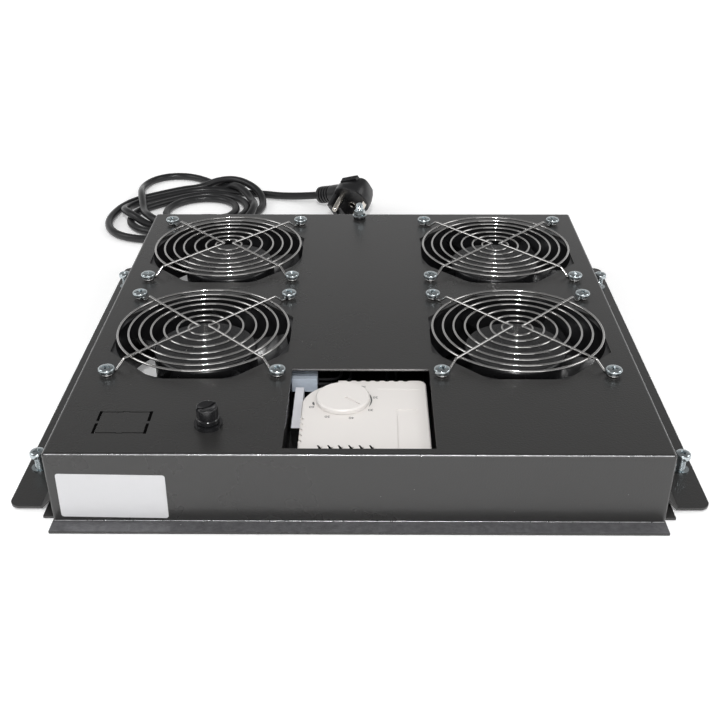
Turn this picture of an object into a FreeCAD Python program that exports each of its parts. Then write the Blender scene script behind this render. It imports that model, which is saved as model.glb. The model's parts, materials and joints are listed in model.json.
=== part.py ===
import FreeCAD, Part
import math
import os
import re
import Sketcher
from FreeCAD import Placement, Rotation, Vector

# Roof-mounted fan tray for a 19-inch rack: a folded sheet-steel tray that carries four 120 mm mains
# fans with finger guards, a thermostat in a window, a fuse holder, an earth screw and a mains cord.
# Frame: +X right, +Y to the rear where the cord leaves, +Z up. The origin is the middle of the
# tray on the surface that it stands on, so the undersides of the tray's flanges are at z = 0.

SIZES = {
    # folded tray
    "tray_width": 346.6, "tray_depth": 346.6, "tray_height": 47.5, "sheet_thick": 1.5,
    "bend_radius": 2.0, "front_flange": 9.7, "side_flange": 6.8, "flange_setback": 3.8,
    # side brackets: a vertical leg on the wall, a 45 degree joggle and a horizontal wing
    "wing_reach": 28.7, "wing_length": 324.0, "wing_thick": 1.5, "wing_underside": 1.2,
    "wing_bend": 9.7, "bracket_leg_top": 27.0, "wing_corner": 6.0, "wing_hole": 6.0,
    # roof screws that stand in the wings, and their washers
    "wing_hole_inset": 8.0, "wing_hole_end": 37.0, "roof_shank": 5.0, "roof_shank_length": 12.0,
    "roof_head": 9.5, "roof_head_thick": 3.5, "roof_washer": 10.0, "roof_washer_hole": 5.7,
    "roof_washer_thick": 1.0,
    # fans
    "fan_columns": 206.0, "fan_rows": 134.7, "fan_rows_mid": 30.45, "fan_size": 120.0,
    "fan_thick": 38.0, "fan_corner": 6.0, "fan_pitch": 105.0, "fan_flange": 5.0,
    "fan_tube": 119.0, "fan_bore": 115.0, "fan_hole": 4.5, "port_across": 114.4,
    "motor_base": 60.0, "motor_base_thick": 3.0, "strut_width": 7.0, "strut_thick": 4.0,
    "rotor_drop": 7.5, "rotor_hub": 68.0, "rotor_height": 22.0, "rotor_wall": 1.5,
    "rotor_edge": 2.5, "rotor_boss": 10.0, "blade_tip": 111.0, "blade_count": 5,
    "blade_thick": 1.6, "blade_root_chord": 30.0, "blade_tip_chord": 46.0,
    "blade_root_pitch": 44.0, "blade_tip_pitch": 28.0, "blade_camber": 3.0,
    "blade_mid_drop": 20.0, "blade_phase": 20.0,
    "shaft": 4.0, "shaft_fit": 0.05, "bearing": 12.0, "bearing_length": 6.0,
    "shaft_end_gap": 0.3, "rotor_boss_length": 5.0, "stator_tube_wall": 3.0,
    "stator_core": 63.8, "stator_core_thick": 10.0, "coil_size": 52.0, "coil_thick": 4.0,
    "coil_clearance": 3.0, "terminal_box_size": 12.0, "terminal_y": 40.0, "terminal_drop": 14.0,
    "spade_length": 8.0, "spade_width": 6.3, "spade_thick": 0.8, "spade_spread": 6.0,
    "sleeve_length": 16.0, "sleeve_wall": 1.6, "sleeve_gap": 0.3,
    # finger guards
    "guard_wire": 1.6, "guard_rise": 4.6, "guard_weld": 0.2, "guard_ring_outer": 56.0,
    "guard_ring_inner": 10.0, "guard_rings": 7, "guard_apex": 4.0, "guard_eye": 7.6,
    "guard_eye_hole": 4.4,
    # M4 fan screws and nuts
    "fan_screw": 4.0, "fan_screw_head": 9.8, "fan_screw_head_thick": 3.2,
    "fan_screw_length": 14.0, "fan_nut_flats": 7.0, "fan_nut_thick": 3.2,
    # earth screw
    "earth_x": -2.3, "earth_inset": 10.3, "earth_length": 12.0, "earth_washer": 9.0,
    "earth_washer_thick": 0.8, "earth_lug": 9.0, "earth_lug_thick": 0.8, "earth_lug_tongue": 4.0,
    "earth_lug_length": 15.0, "earth_crimp": 3.6, "earth_crimp_length": 7.0, "loose_hole": 0.2,
    # knock-out panel, held by four tabs between its slots
    "knockout_x": -134.8, "knockout_inset": 31.3, "knockout_width": 29.0, "knockout_depth": 22.0,
    "knockout_slot": 0.8, "knockout_tab": 3.0,
    # thermostat window, thermostat and the bracket that carries it
    "window_x": 0.5, "window_width": 85.0, "window_depth": 85.2, "window_margin": 6.0,
    "stat_left": -34.4, "stat_right": 41.0, "stat_back_inset": 88.8, "stat_length": 83.0,
    "stat_drop": 6.5, "cover_thick": 16.0, "cover_wall": 2.0, "cover_corner": 5.0,
    "cover_edge": 1.2, "base_thick": 8.0, "bezel_radius": 26.0, "bezel_inset": 3.5,
    "bezel_step": 4.1, "bezel_side": 25.0, "ear_reach": 5.6, "ear_length": 46.0,
    "ear_rise": 10.5, "ear_gap": 0.3,
    "vent_count": 7, "vent_pitch": 5.8, "vent_width": 4.0, "vent_depth": 1.2, "vent_x": 10.9,
    "side_vent_count": 5, "side_vent_inset": 33.3,
    "slot_count": 6, "slot_x": -7.5, "slot_inset": 13.3, "slot_width": 1.6, "slot_length": 7.0,
    "slot_lean": 2.5, "panel_x": 28.0, "panel_inset": 34.3, "panel_width": 12.0,
    "panel_length": 42.0, "panel_depth": 0.4,
    "dial_x": -10.0, "dial_inset": 65.3, "dial": 32.5, "dial_thick": 3.0, "dial_gap": 0.3,
    "dial_edge": 0.8, "dial_bore_depth": 2.0, "pointer_turn": -43.0, "pointer_width": 1.4,
    "pointer_start": 2.0, "pointer_end": 14.0, "pointer_depth": 0.8, "spindle": 6.0,
    "bellows": 30.0, "bellows_thick": 6.0, "bellows_groove": 3.0,
    "switch_x": 20.0, "switch_width": 28.0, "switch_depth": 11.0, "switch_thick": 12.0,
    "stat_bracket_width": 89.0, "stat_bracket_depth": 66.0, "stat_bracket_lip": 8.0,
    "stat_screw_pitch": 50.0, "stat_screw_length": 8.0, "stat_screw_inset": 35.3,
    # fuse holder
    "fuse_x": -85.4, "fuse_inset": 28.7, "fuse_hole": 12.4, "fuse_fit": 0.1, "fuse_collar": 16.2,
    "fuse_collar_thick": 2.2, "fuse_barrel_length": 27.5, "fuse_end_thick": 5.5,
    "fuse_cap": 13.0, "fuse_cap_rise": 10.6, "fuse_cap_edge": 0.8, "fuse_cap_gap": 0.3,
    "fuse_spigot_length": 3.0, "fuse_carrier": 8.0, "fuse_carrier_length": 9.0,
    "fuse_slot": 1.6, "fuse_slot_depth": 1.4, "fuse_nut_flats": 16.0, "fuse_nut_thick": 3.0,
    "fuse_link": 5.2, "fuse_link_length": 20.0, "fuse_link_cap": 5.0, "fuse_lug_width": 4.8,
    "fuse_lug_thick": 0.8, "fuse_lug_reach": 14.0, "fuse_lug_rise": 6.0,
    # wiring under the plate
    "terminal_block_y": 30.0, "terminal_block_width": 60.0, "terminal_block_depth": 18.0,
    "terminal_block_height": 15.0, "block_way_pitch": 9.0, "block_way": 4.5,
    "block_way_depth": 9.0, "wire": 2.0, "wire_hole": 3.0,
    # mains cord, strain relief and plug
    "cord": 7.2, "exit_x": 15.0, "exit_z": 17.0, "relief_collar": 17.0, "relief_collar_thick": 3.0,
    "relief_hole": 12.6, "relief_fit": 0.1, "relief_neck_length": 8.0, "relief_root": 12.0,
    "relief_tail": 9.4, "relief_length": 26.0,
    "coil_x": -155.0, "coil_y": 303.0, "coil_outer": 180.0, "coil_inner": 70.0,
    "coil_height": 26.0, "coil_edge": 6.0,
    "plug_x": -13.0, "plug_y": 292.0, "plug_z": 18.4, "plug_tilt": 12.0, "plug_face": 37.0,
    "plug_disc": 16.0, "plug_edge": 1.5, "plug_grip": 28.0, "plug_grip_length": 12.0,
    "plug_grip_corner": 8.0, "pull_plate_width": 17.0, "pull_plate_rise": 3.5,
    "boot_y": -8.8, "boot_z": -14.5, "boot_root": 13.0, "boot_end": 10.3, "boot_reach": 31.5,
    "boot_start": 18.0, "boot_rib_count": 4, "boot_groove": 1.4, "plug_pin": 4.8,
    "plug_pin_length": 19.0, "plug_pin_pitch": 19.0, "plug_pin_tip": 1.2, "clip_width": 6.4,
    "clip_slot": 2.2, "clip_thick": 1.2, "clip_length": 11.0, "clip_gap": 0.3,
    "earth_hole": 6.0, "earth_hole_x": 9.0, "earth_hole_depth": 10.0, "earth_ring_wall": 0.6,
}

# Places that follow from the tray's own size: what stands near an edge keeps its distance to it.
PLACES = {
    "wing_edge": "tray_width / 2 + wing_reach", "wing_bend_x": "tray_width / 2 + wing_bend",
    "roof_x": "wing_edge - wing_hole_inset", "roof_y": "wing_length / 2 - wing_hole_end",
    "earth_y": "tray_depth / 2 - earth_inset", "fuse_y": "fuse_inset - tray_depth / 2",
    "knockout_y": "knockout_inset - tray_depth / 2",
    "stat_back": "stat_back_inset - tray_depth / 2", "dial_y": "dial_inset - tray_depth / 2",
    "stat_screw_y": "stat_screw_inset - tray_depth / 2",
    "side_vent_y": "side_vent_inset - tray_depth / 2", "slot_y": "slot_inset - tray_depth / 2",
    "panel_y": "panel_inset - tray_depth / 2",
}

doc = FreeCAD.newDocument("RackFanTray")
sheet = doc.addObject("Spreadsheet::Sheet", "Sizes")
rows = [*SIZES.items(), *((alias, f"={text}") for alias, text in PLACES.items())]
for row, (alias, _) in enumerate(rows, 1):
    sheet.setAlias(f"B{row}", alias)
for row, (alias, content) in enumerate(rows, 1):
    sheet.set(f"A{row}", alias)
    sheet.set(f"B{row}", str(content))
doc.recompute()

NODES = []
NAMES = {alias for alias, _ in rows}
WORD = re.compile(r"[a-z][a-z0-9_]*")


def bound(text):
    """The expression with every size name pointing at the sheet."""
    return WORD.sub(lambda m: "Sizes." + m[0] if m[0] in NAMES else m[0], str(text))


def number(text):
    """What an expression comes to now."""
    found = sheet.evalExpression(bound(text))
    return float(getattr(found, "Value", found))


def bind(item, **expressions):
    for name, text in expressions.items():
        item.setExpression(name.replace("__", "."), bound(text))
    return item


def place(item, x="0", y="0", z="0"):
    return bind(item, Placement__Base__x=x, Placement__Base__y=y, Placement__Base__z=z)


def node(item, label):
    """Marks an object as a finished sub-part under its own name."""
    item.Label = label
    NODES.append(item)
    return item


# ---- Part Design helpers ------------------------------------------------------------------


def new_body(label, x="0", y="0", z="0"):
    return place(node(doc.addObject("PartDesign::Body", label), label), x, y, z)


def new_sketch(body, name, role="XY_Plane", offset="0"):
    """A sketch on one of the body's own origin planes, moved along the plane's normal."""
    sketch = body.newObject("Sketcher::SketchObject", name)
    plane = next(part for part in body.Origin.OriginFeatures if part.Role == role)
    sketch.AttachmentSupport = [(plane, "")]
    sketch.MapMode = "FlatFace"
    return bind(sketch, AttachmentOffset__Base__z=offset)


def dimension(sketch, text, kind, *where):
    index = sketch.addConstraint(Sketcher.Constraint(kind, *where, number(text)))
    sketch.setExpression(f"Constraints[{index}]", bound(text))


def pin(sketch, line, end, x, y):
    """Dimensions one point of the sketch from its origin."""
    dimension(sketch, x, "DistanceX", -1, 1, line, end)
    dimension(sketch, y, "DistanceY", -1, 1, line, end)


def add_circle(sketch, diameter, x="0", y="0"):
    centre = Vector(number(x), number(y), 0)
    circle = sketch.addGeometry(Part.Circle(centre, Vector(0, 0, 1), number(diameter) / 2))
    pin(sketch, circle, 3, x, y)
    dimension(sketch, diameter, "Diameter", circle)


def add_outline(sketch, corners, arcs=None):
    """A closed outline. arcs[i] makes the side after corner i round: its radius is positive where
    the side bulges outwards on an outline drawn anticlockwise."""
    arcs = arcs or {}
    points = [Vector(number(x), number(y), 0) for x, y in corners]
    sides = []
    for i, start in enumerate(points):
        end = points[(i + 1) % len(points)]
        if i not in arcs:
            sides.append((sketch.addGeometry(Part.LineSegment(start, end)), 1, 2))
            continue
        radius = number(arcs[i])
        half = (end - start) / 2
        rise = math.sqrt(radius**2 - half.Length**2) * math.copysign(1, radius)
        centre = start + half + Vector(-half.y, half.x, 0).normalize() * rise
        ends = (start, end) if radius > 0 else (end, start)
        first, last = (math.atan2(p.y - centre.y, p.x - centre.x) for p in ends)
        circle = Part.Circle(centre, Vector(0, 0, 1), abs(radius))
        side = sketch.addGeometry(Part.ArcOfCircle(circle, first, last + math.tau * (last < first)))
        sides.append((side, 1, 2) if radius > 0 else (side, 2, 1))
        dimension(sketch, f"abs({arcs[i]})", "Radius", side)
    for i, (side, first, last) in enumerate(sides):
        following, its_first, _ = sides[(i + 1) % len(sides)]
        sketch.addConstraint(Sketcher.Constraint("Coincident", side, last, following, its_first))
        pin(sketch, side, first, *corners[i])


def add_rectangle(sketch, width, depth, x="0", y="0"):
    add_outline(sketch, [(f"{x} {sx} ({width}) / 2", f"{y} {sy} ({depth}) / 2")
                         for sx, sy in (("-", "-"), ("+", "-"), ("+", "+"), ("-", "+"))])


def feature(body, kind, name, sketch, **settings):
    """Pad, Pocket, Revolution or Groove of a sketch; text settings are expressions."""
    item = body.newObject(f"PartDesign::{kind}", name)
    item.Profile = sketch
    if kind in ("Revolution", "Groove"):
        item.ReferenceAxis = (sketch, ["V_Axis"])
        item.Angle = 360
    for key, setting in settings.items():
        if isinstance(setting, str):
            bind(item, **{key: setting})
        else:
            setattr(item, key, setting)
    sketch.Visibility = False
    return item


def cut(body, name, sketch, **settings):
    """A Pocket or Groove that is checked to have taken material away."""
    doc.recompute()
    before = body.Shape.Volume
    kind = "Groove" if settings.pop("round_cut", False) else "Pocket"
    item = feature(body, kind, name, sketch, **settings)
    doc.recompute()
    if not body.Shape.Volume < before - 1e-3:
        raise RuntimeError(f"{body.Label}.{name} cuts nothing")
    return item


def round_edges(body, name, radius, wanted, kind="Fillet"):
    """Rounds (or chamfers) the edges of the body's tip for which wanted(edge) is true."""
    doc.recompute()
    base = body.Tip
    edges = [f"Edge{i}" for i, edge in enumerate(base.Shape.Edges, 1) if wanted(edge)]
    item = body.newObject(f"PartDesign::{kind}", name)
    item.Base = (base, edges)
    bind(item, **{"Radius" if kind == "Fillet" else "Size": radius})
    return item


def polar(body, name, original, count):
    """Repeats a feature evenly about the body's Z axis and makes the pattern the tip."""
    pattern = body.newObject("PartDesign::PolarPattern", name)
    pattern.Originals = [original]
    axis = next(part for part in body.Origin.OriginFeatures if part.Role == "Z_Axis")
    pattern.Axis = (axis, [""])
    pattern.Angle = 360
    bind(pattern, Occurrences=count)
    body.Tip = pattern
    return pattern


def upright(edge):
    """True for an edge parallel to Z."""
    box = edge.BoundBox
    return box.XLength < 1e-6 and box.YLength < 1e-6


# ---- Part helpers -------------------------------------------------------------------------


def cylinder(label, diameter, height, x="0", y="0", z="0"):
    item = bind(doc.addObject("Part::Cylinder", label), Radius=f"({diameter}) / 2", Height=height)
    return place(item, x, y, z)


def block(label, length, width, height, x="0", y="0", z="0"):
    """A box centred on x, y with its underside at z."""
    item = bind(doc.addObject("Part::Box", label), Length=length, Width=width, Height=height)
    return place(item, f"{x} - ({length}) / 2", f"{y} - ({width}) / 2", z)


def joined(label, *parts):
    item = doc.addObject("Part::MultiFuse", label)
    item.Shapes = list(parts)
    return item


def less(label, base, *tools):
    """base with the tools cut out of it."""
    item = doc.addObject("Part::Cut", label)
    item.Base = base
    item.Tool = tools[0] if len(tools) == 1 else joined(label + "_tools", *tools)
    return item


def tube(label, outer, inner, height, x="0", y="0", z="0"):
    return less(label, cylinder(label + "_outer", outer, height, x, y, z),
                cylinder(label + "_bore", inner, height, x, y, z))


def solid(label, shape):
    """A sub-part whose shape is worked out in this script from the sheet's values."""
    item = doc.addObject("Part::Feature", label)
    item.Shape = shape
    return node(item, label)


def group(label, shapes):
    """Identical loose pieces that share one sub-part."""
    return solid(label, Part.makeCompound(shapes))


def hexagon(flats, thick, hole, at):
    """A hexagonal nut."""
    corner = flats / 2 / math.cos(math.pi / 6)
    ring = [at + Vector(corner * math.cos(a), corner * math.sin(a), 0)
            for a in (math.pi / 3 * i for i in range(7))]
    nut = Part.Face(Part.makePolygon(ring)).extrude(Vector(0, 0, thick))
    return nut.cut(Part.makeCylinder(hole / 2, thick, at))


def pan_screw(head, head_thick, shank, length, seat):
    """A pan-head machine screw whose head rests on seat and whose shank points down."""
    edge = head_thick / 3
    profile = [(0, -length), (shank / 2, -length), (shank / 2, 0), (head / 2, 0),
               (head / 2, head_thick - edge), (head / 2 - 2 * edge, head_thick), (0, head_thick)]
    points = [Vector(r, 0, z) + seat for r, z in profile]
    face = Part.Face(Part.makePolygon(points + points[:1]))
    return face.revolve(seat, Vector(0, 0, 1), 360)


def rounded_path(points):
    """Straight runs joined by tangent arcs that are as large as their two runs allow."""
    edges, radii, start = [], [], points[0]
    for before, corner, after in zip(points, points[1:], points[2:]):
        to_back, to_front = before - corner, after - corner
        turn = math.pi - to_back.getAngle(to_front)
        reach = 0.45 * min(to_back.Length, to_front.Length)
        radii.append(reach / math.tan(turn / 2))
        first = corner + Vector(to_back).normalize() * reach
        last = corner + Vector(to_front).normalize() * reach
        bisector = (Vector(to_back).normalize() + Vector(to_front).normalize()).normalize()
        middle = corner + bisector * (radii[-1] / math.cos(turn / 2) - radii[-1])
        edges += [Part.LineSegment(start, first).toShape(), Part.Arc(first, middle, last).toShape()]
        start = last
    edges.append(Part.LineSegment(start, points[-1]).toShape())
    return Part.Wire(edges), radii


def cable(points, diameter, name):
    """A round cable along a rounded path; its volume is compared with section times length."""
    circle = Part.Wire([Part.Circle(points[0], points[1] - points[0], diameter / 2).toShape()])
    return swept(points, circle, math.pi * diameter**2 / 4, name)


def swept(points, outline, area, name):
    path, radii = rounded_path(points)
    shape = path.makePipeShell([outline], True, False)
    expected = area * path.Length
    if abs(shape.Volume - expected) > 0.01 * expected:
        raise RuntimeError(f"{name}: the sweep has the wrong volume")
    print(f"{name}: length {path.Length:.0f}, bend radii", [round(r) for r in radii])
    return shape


# ---- The folded tray ----------------------------------------------------------------------

PLATE = "(tray_height - sheet_thick)"
SIDES = ("-", "+")
FANS = {
    "front_left": ("-fan_columns / 2", "fan_rows_mid - fan_rows / 2", 0),
    "front_right": ("fan_columns / 2", "fan_rows_mid - fan_rows / 2", 180),
    "rear_left": ("-fan_columns / 2", "fan_rows_mid + fan_rows / 2", 0),
    "rear_right": ("fan_columns / 2", "fan_rows_mid + fan_rows / 2", 180),
}
OCTAGON = math.tan(math.pi / 8)


def build_tray():
    tray = new_body("tray")
    outer = new_sketch(tray, "tray_outline")
    add_rectangle(outer, "tray_width", "tray_depth")
    feature(tray, "Pad", "tray_block", outer, Length="tray_height")
    top = number("tray_height")
    round_edges(tray, "tray_folds", "bend_radius",
                lambda edge: upright(edge) or edge.BoundBox.ZMin > top - 1e-6)
    inner = new_sketch(tray, "tray_inside")
    add_rectangle(inner, "tray_width - 2 * sheet_thick", "tray_depth - 2 * sheet_thick")
    cut(tray, "tray_hollow", inner, Length=PLATE, Reversed=True)
    rims = new_sketch(tray, "flange_outlines")
    for side in SIDES:
        add_rectangle(rims, "tray_width", "front_flange + sheet_thick",
                      y=f"{side}(tray_depth + front_flange - sheet_thick) / 2")
        add_rectangle(rims, "side_flange + sheet_thick", "tray_depth - 2 * flange_setback",
                      x=f"{side}(tray_width + side_flange - sheet_thick) / 2")
    feature(tray, "Pad", "flanges", rims, Length="sheet_thick")
    ports = new_sketch(tray, "port_outlines", offset="tray_height")
    half, short = "port_across / 2", f"port_across / 2 * {OCTAGON:.6f}"
    for x, y, _ in FANS.values():
        add_outline(ports, [(f"{x} {a}", f"{y} {b}") for a, b in (
            (f"- {half}", f"- {short}"), (f"- {short}", f"- {half}"), (f"+ {short}", f"- {half}"),
            (f"+ {half}", f"- {short}"), (f"+ {half}", f"+ {short}"), (f"+ {short}", f"+ {half}"),
            (f"- {short}", f"+ {half}"), (f"- {half}", f"+ {short}"))])
        for sx in SIDES:
            for sy in SIDES:
                add_circle(ports, "fan_hole", f"{x} {sx} fan_pitch / 2", f"{y} {sy} fan_pitch / 2")
    add_rectangle(ports, "window_width", "window_depth", x="window_x",
                  y="-tray_depth / 2 + window_margin + window_depth / 2")
    add_circle(ports, "fuse_hole", "fuse_x", "fuse_y")
    add_circle(ports, "fan_screw", "earth_x", "earth_y")
    cut(tray, "ports", ports, Length="2 * sheet_thick")
    slots = new_sketch(tray, "knockout_slots", offset="tray_height")
    for sx in SIDES:
        for sy in SIDES:
            add_outline(slots, [(f"knockout_x {sx} {a}", f"knockout_y {sy} {b}") for a, b in (
                ("knockout_width / 2", "knockout_tab / 2"),
                ("knockout_width / 2", "knockout_depth / 2"),
                ("knockout_tab / 2", "knockout_depth / 2"),
                ("knockout_tab / 2", "(knockout_depth / 2 - knockout_slot)"),
                ("(knockout_width / 2 - knockout_slot)", "(knockout_depth / 2 - knockout_slot)"),
                ("(knockout_width / 2 - knockout_slot)", "knockout_tab / 2"))])
    cut(tray, "knockout", slots, Length="2 * sheet_thick")
    rear = new_sketch(tray, "cord_hole", role="XZ_Plane", offset="-tray_depth / 2")
    add_circle(rear, "relief_hole", "exit_x", "exit_z")
    cut(tray, "cord_exit", rear, Length="2 * sheet_thick", Reversed=True)


def build_bracket(side, hand):
    """A joggled side bracket: leg on the wall, 45 degree web, wing with two screw holes."""
    bracket = new_body(f"side_bracket_{hand}")
    wall, top = "tray_width / 2", "(wing_underside + wing_thick)"
    web = f"{top} + wing_bend_x - {wall}"
    corners = [
        ("wing_edge", "wing_underside"), ("wing_edge", top), ("wing_bend_x", top),
        (f"{wall} + wing_thick", f"{web} - wing_thick"), (f"{wall} + wing_thick", "bracket_leg_top"),
        (wall, "bracket_leg_top"), (wall, f"{web} - {math.sqrt(2):.6f} * wing_thick"),
        (f"wing_bend_x - {math.sqrt(2) - 1:.6f} * wing_thick", "wing_underside"),
    ]
    profile = new_sketch(bracket, f"bracket_profile_{hand}", "XZ_Plane", "-wing_length / 2")
    add_outline(profile, [(f"{side}({x})", z) for x, z in corners])
    feature(bracket, "Pad", f"bracket_sheet_{hand}", profile, Length="wing_length")
    reach = number("wing_edge")
    round_edges(bracket, f"wing_corners_{hand}", "wing_corner",
                lambda edge: upright(edge) and abs(abs(edge.BoundBox.XMin) - reach) < 1e-6)
    holes = new_sketch(bracket, f"wing_holes_{hand}")
    for end in SIDES:
        add_circle(holes, "wing_hole", f"{side}roof_x", f"{end}roof_y")
    cut(bracket, f"wing_drilling_{hand}", holes, Length="wing_underside + 2 * wing_thick",
        Reversed=True)


def build_roof_screws():
    screw = pan_screw(*map(number, ("roof_head", "roof_head_thick", "roof_shank",
                                    "roof_shank_length")), Vector())
    washers = []
    for row, sy in (("front", "-"), ("rear", "+")):
        for hand, sx in (("left", "-"), ("right", "+")):
            x, y = f"{sx}roof_x", f"{sy}roof_y"
            place(solid(f"roof_screw_{row}_{hand}", screw.copy()), x, y, "roof_shank_length")
            at = Vector(number(x), number(y), number("wing_underside + wing_thick"))
            thick = number("roof_washer_thick")
            washers.append(Part.makeCylinder(number("roof_washer") / 2, thick, at).cut(
                Part.makeCylinder(number("roof_washer_hole") / 2, thick, at)))
    group("roof_washers", washers)


# ---- Fans ---------------------------------------------------------------------------------
# Each fan is drawn with its top face at z = 0, under the plate, and its terminals on +X.


def stand_fan(body, name, angle="0"):
    """Puts a piece of a fan in its place; the fans of the right column are turned round."""
    x, y, turn = FANS[name]
    place(body, x, y, PLATE)
    return bind(body, Placement__Rotation__Angle=f"{turn} + {angle}")


def build_fan_frame(name):
    frame = stand_fan(new_body(f"fan_frame_{name}"), name)
    for level, offset in (("top", "-fan_flange"), ("bottom", "-fan_thick")):
        square = new_sketch(frame, f"{level}_flange_{name}", offset=offset)
        add_rectangle(square, "fan_size", "fan_size")
        feature(frame, "Pad", f"{level}_flange_plate_{name}", square, Length="fan_flange")
    round_edges(frame, f"frame_corners_{name}", "fan_corner", upright)
    barrel = new_sketch(frame, f"frame_barrel_{name}", offset="-fan_thick")
    add_circle(barrel, "fan_tube")
    feature(frame, "Pad", f"frame_tube_{name}", barrel, Length="fan_thick")
    box = new_sketch(frame, f"terminal_box_{name}", offset="-fan_thick + fan_flange")
    add_rectangle(box, "terminal_box_size", "terminal_box_size",
                  x="(fan_size - terminal_box_size) / 2", y="-terminal_y")
    feature(frame, "Pad", f"terminal_boss_{name}", box, Length="fan_thick - 2 * fan_flange")
    bore = new_sketch(frame, f"frame_bore_{name}")
    add_circle(bore, "fan_bore")
    cut(frame, f"frame_throat_{name}", bore, Length="fan_thick")
    holes = new_sketch(frame, f"mounting_holes_{name}")
    for sx in SIDES:
        for sy in SIDES:
            add_circle(holes, "fan_hole", f"{sx}fan_pitch / 2", f"{sy}fan_pitch / 2")
    cut(frame, f"frame_drilling_{name}", holes, Length="fan_thick")
    base = new_sketch(frame, f"motor_base_{name}", offset="-fan_thick")
    add_circle(base, "motor_base")
    feature(frame, "Pad", f"motor_seat_{name}", base, Length="motor_base_thick")
    strut = new_sketch(frame, f"strut_{name}", offset="-fan_thick")
    add_rectangle(strut, "(fan_bore - motor_base) / 2 + 3", "strut_width",
                  x="(fan_bore + motor_base) / 4")
    arm = feature(frame, "Pad", f"strut_arm_{name}", strut, Length="strut_thick")
    polar(frame, f"struts_{name}", arm, "4")


def build_fan_rotor(name):
    """Motor cup with a ring of cambered, twisted blades that turn inside the frame's throat."""
    rotor = stand_fan(new_body(f"fan_rotor_{name}"), name, "blade_phase")
    low = "-(rotor_drop + rotor_height)"
    inside = "-(rotor_drop + rotor_wall)"
    cup = new_sketch(rotor, f"cup_profile_{name}", "XZ_Plane")
    add_outline(cup, [("0", low), ("rotor_hub / 2", low),
                      ("rotor_hub / 2", "-(rotor_drop + rotor_edge)"),
                      ("rotor_hub / 2 - rotor_edge", "-rotor_drop"), ("0", "-rotor_drop")],
                arcs={2: "rotor_edge"})
    feature(rotor, "Revolution", f"cup_block_{name}", cup)
    sections = []
    for end, distance in (("root", "rotor_hub / 2 - 4"), ("tip", "blade_tip / 2 + 5")):
        chord, pitch = f"blade_{end}_chord", f"blade_{end}_pitch"
        across = f"{chord} / 2 * cos({pitch})"
        along = f"{chord} / 2 * sin({pitch})"
        bulge = [f"(({chord})^2 / 4 + ({sag})^2) / (2 * ({sag}))"
                 for sag in ("blade_camber + blade_thick", "blade_camber")]
        section = new_sketch(rotor, f"blade_{end}_{name}", "XZ_Plane", distance)
        add_outline(section, [(f"-{across}", f"-blade_mid_drop - {along}"),
                              (across, f"-blade_mid_drop + {along}")],
                    arcs={0: bulge[0], 1: f"-({bulge[1]})"})
        sections.append(section)
    blade = rotor.newObject("PartDesign::AdditiveLoft", f"blade_{name}")
    blade.Profile, blade.Sections, blade.Ruled = sections[0], sections[1:], True
    polar(rotor, f"blades_{name}", blade, "blade_count")
    trim = new_sketch(rotor, f"tip_trim_{name}", "XZ_Plane")
    add_rectangle(trim, "fan_size / 2", "fan_thick * 2", x="blade_tip / 2 + fan_size / 4",
                  y="-fan_thick / 2")
    cut(rotor, f"tip_circle_{name}", trim, round_cut=True)
    hollow = new_sketch(rotor, f"cup_inside_{name}", "XZ_Plane")
    add_outline(hollow, [("0", f"{low} - 1"), ("rotor_hub / 2 - rotor_wall", f"{low} - 1"),
                         ("rotor_hub / 2 - rotor_wall", inside), ("rotor_boss / 2", inside),
                         ("rotor_boss / 2", f"{inside} - rotor_boss_length"),
                         ("shaft / 2", f"{inside} - rotor_boss_length"), ("shaft / 2", inside),
                         ("0", inside)])
    cut(rotor, f"cup_hollow_{name}", hollow, round_cut=True)


def build_fan_shaft(name):
    x, y, _ = FANS[name]
    length = "fan_thick - motor_base_thick - shaft_end_gap - rotor_drop - rotor_wall"
    shaft = cylinder(f"fan_shaft_{name}", "shaft", length, x, y,
                     f"{PLATE} - fan_thick + motor_base_thick + shaft_end_gap")
    node(shaft, f"fan_shaft_{name}")


def fan_places():
    """The placement of each fan's top face."""
    return [Placement(Vector(number(x), number(y), number(PLATE)), Rotation(Vector(0, 0, 1), turn))
            for x, y, turn in FANS.values()]


def at_fans(label, shapes):
    """The same pieces in every fan, as one sub-part."""
    group(label, [shape.transformed(spot.toMatrix()) for spot in fan_places() for shape in shapes])


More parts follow.
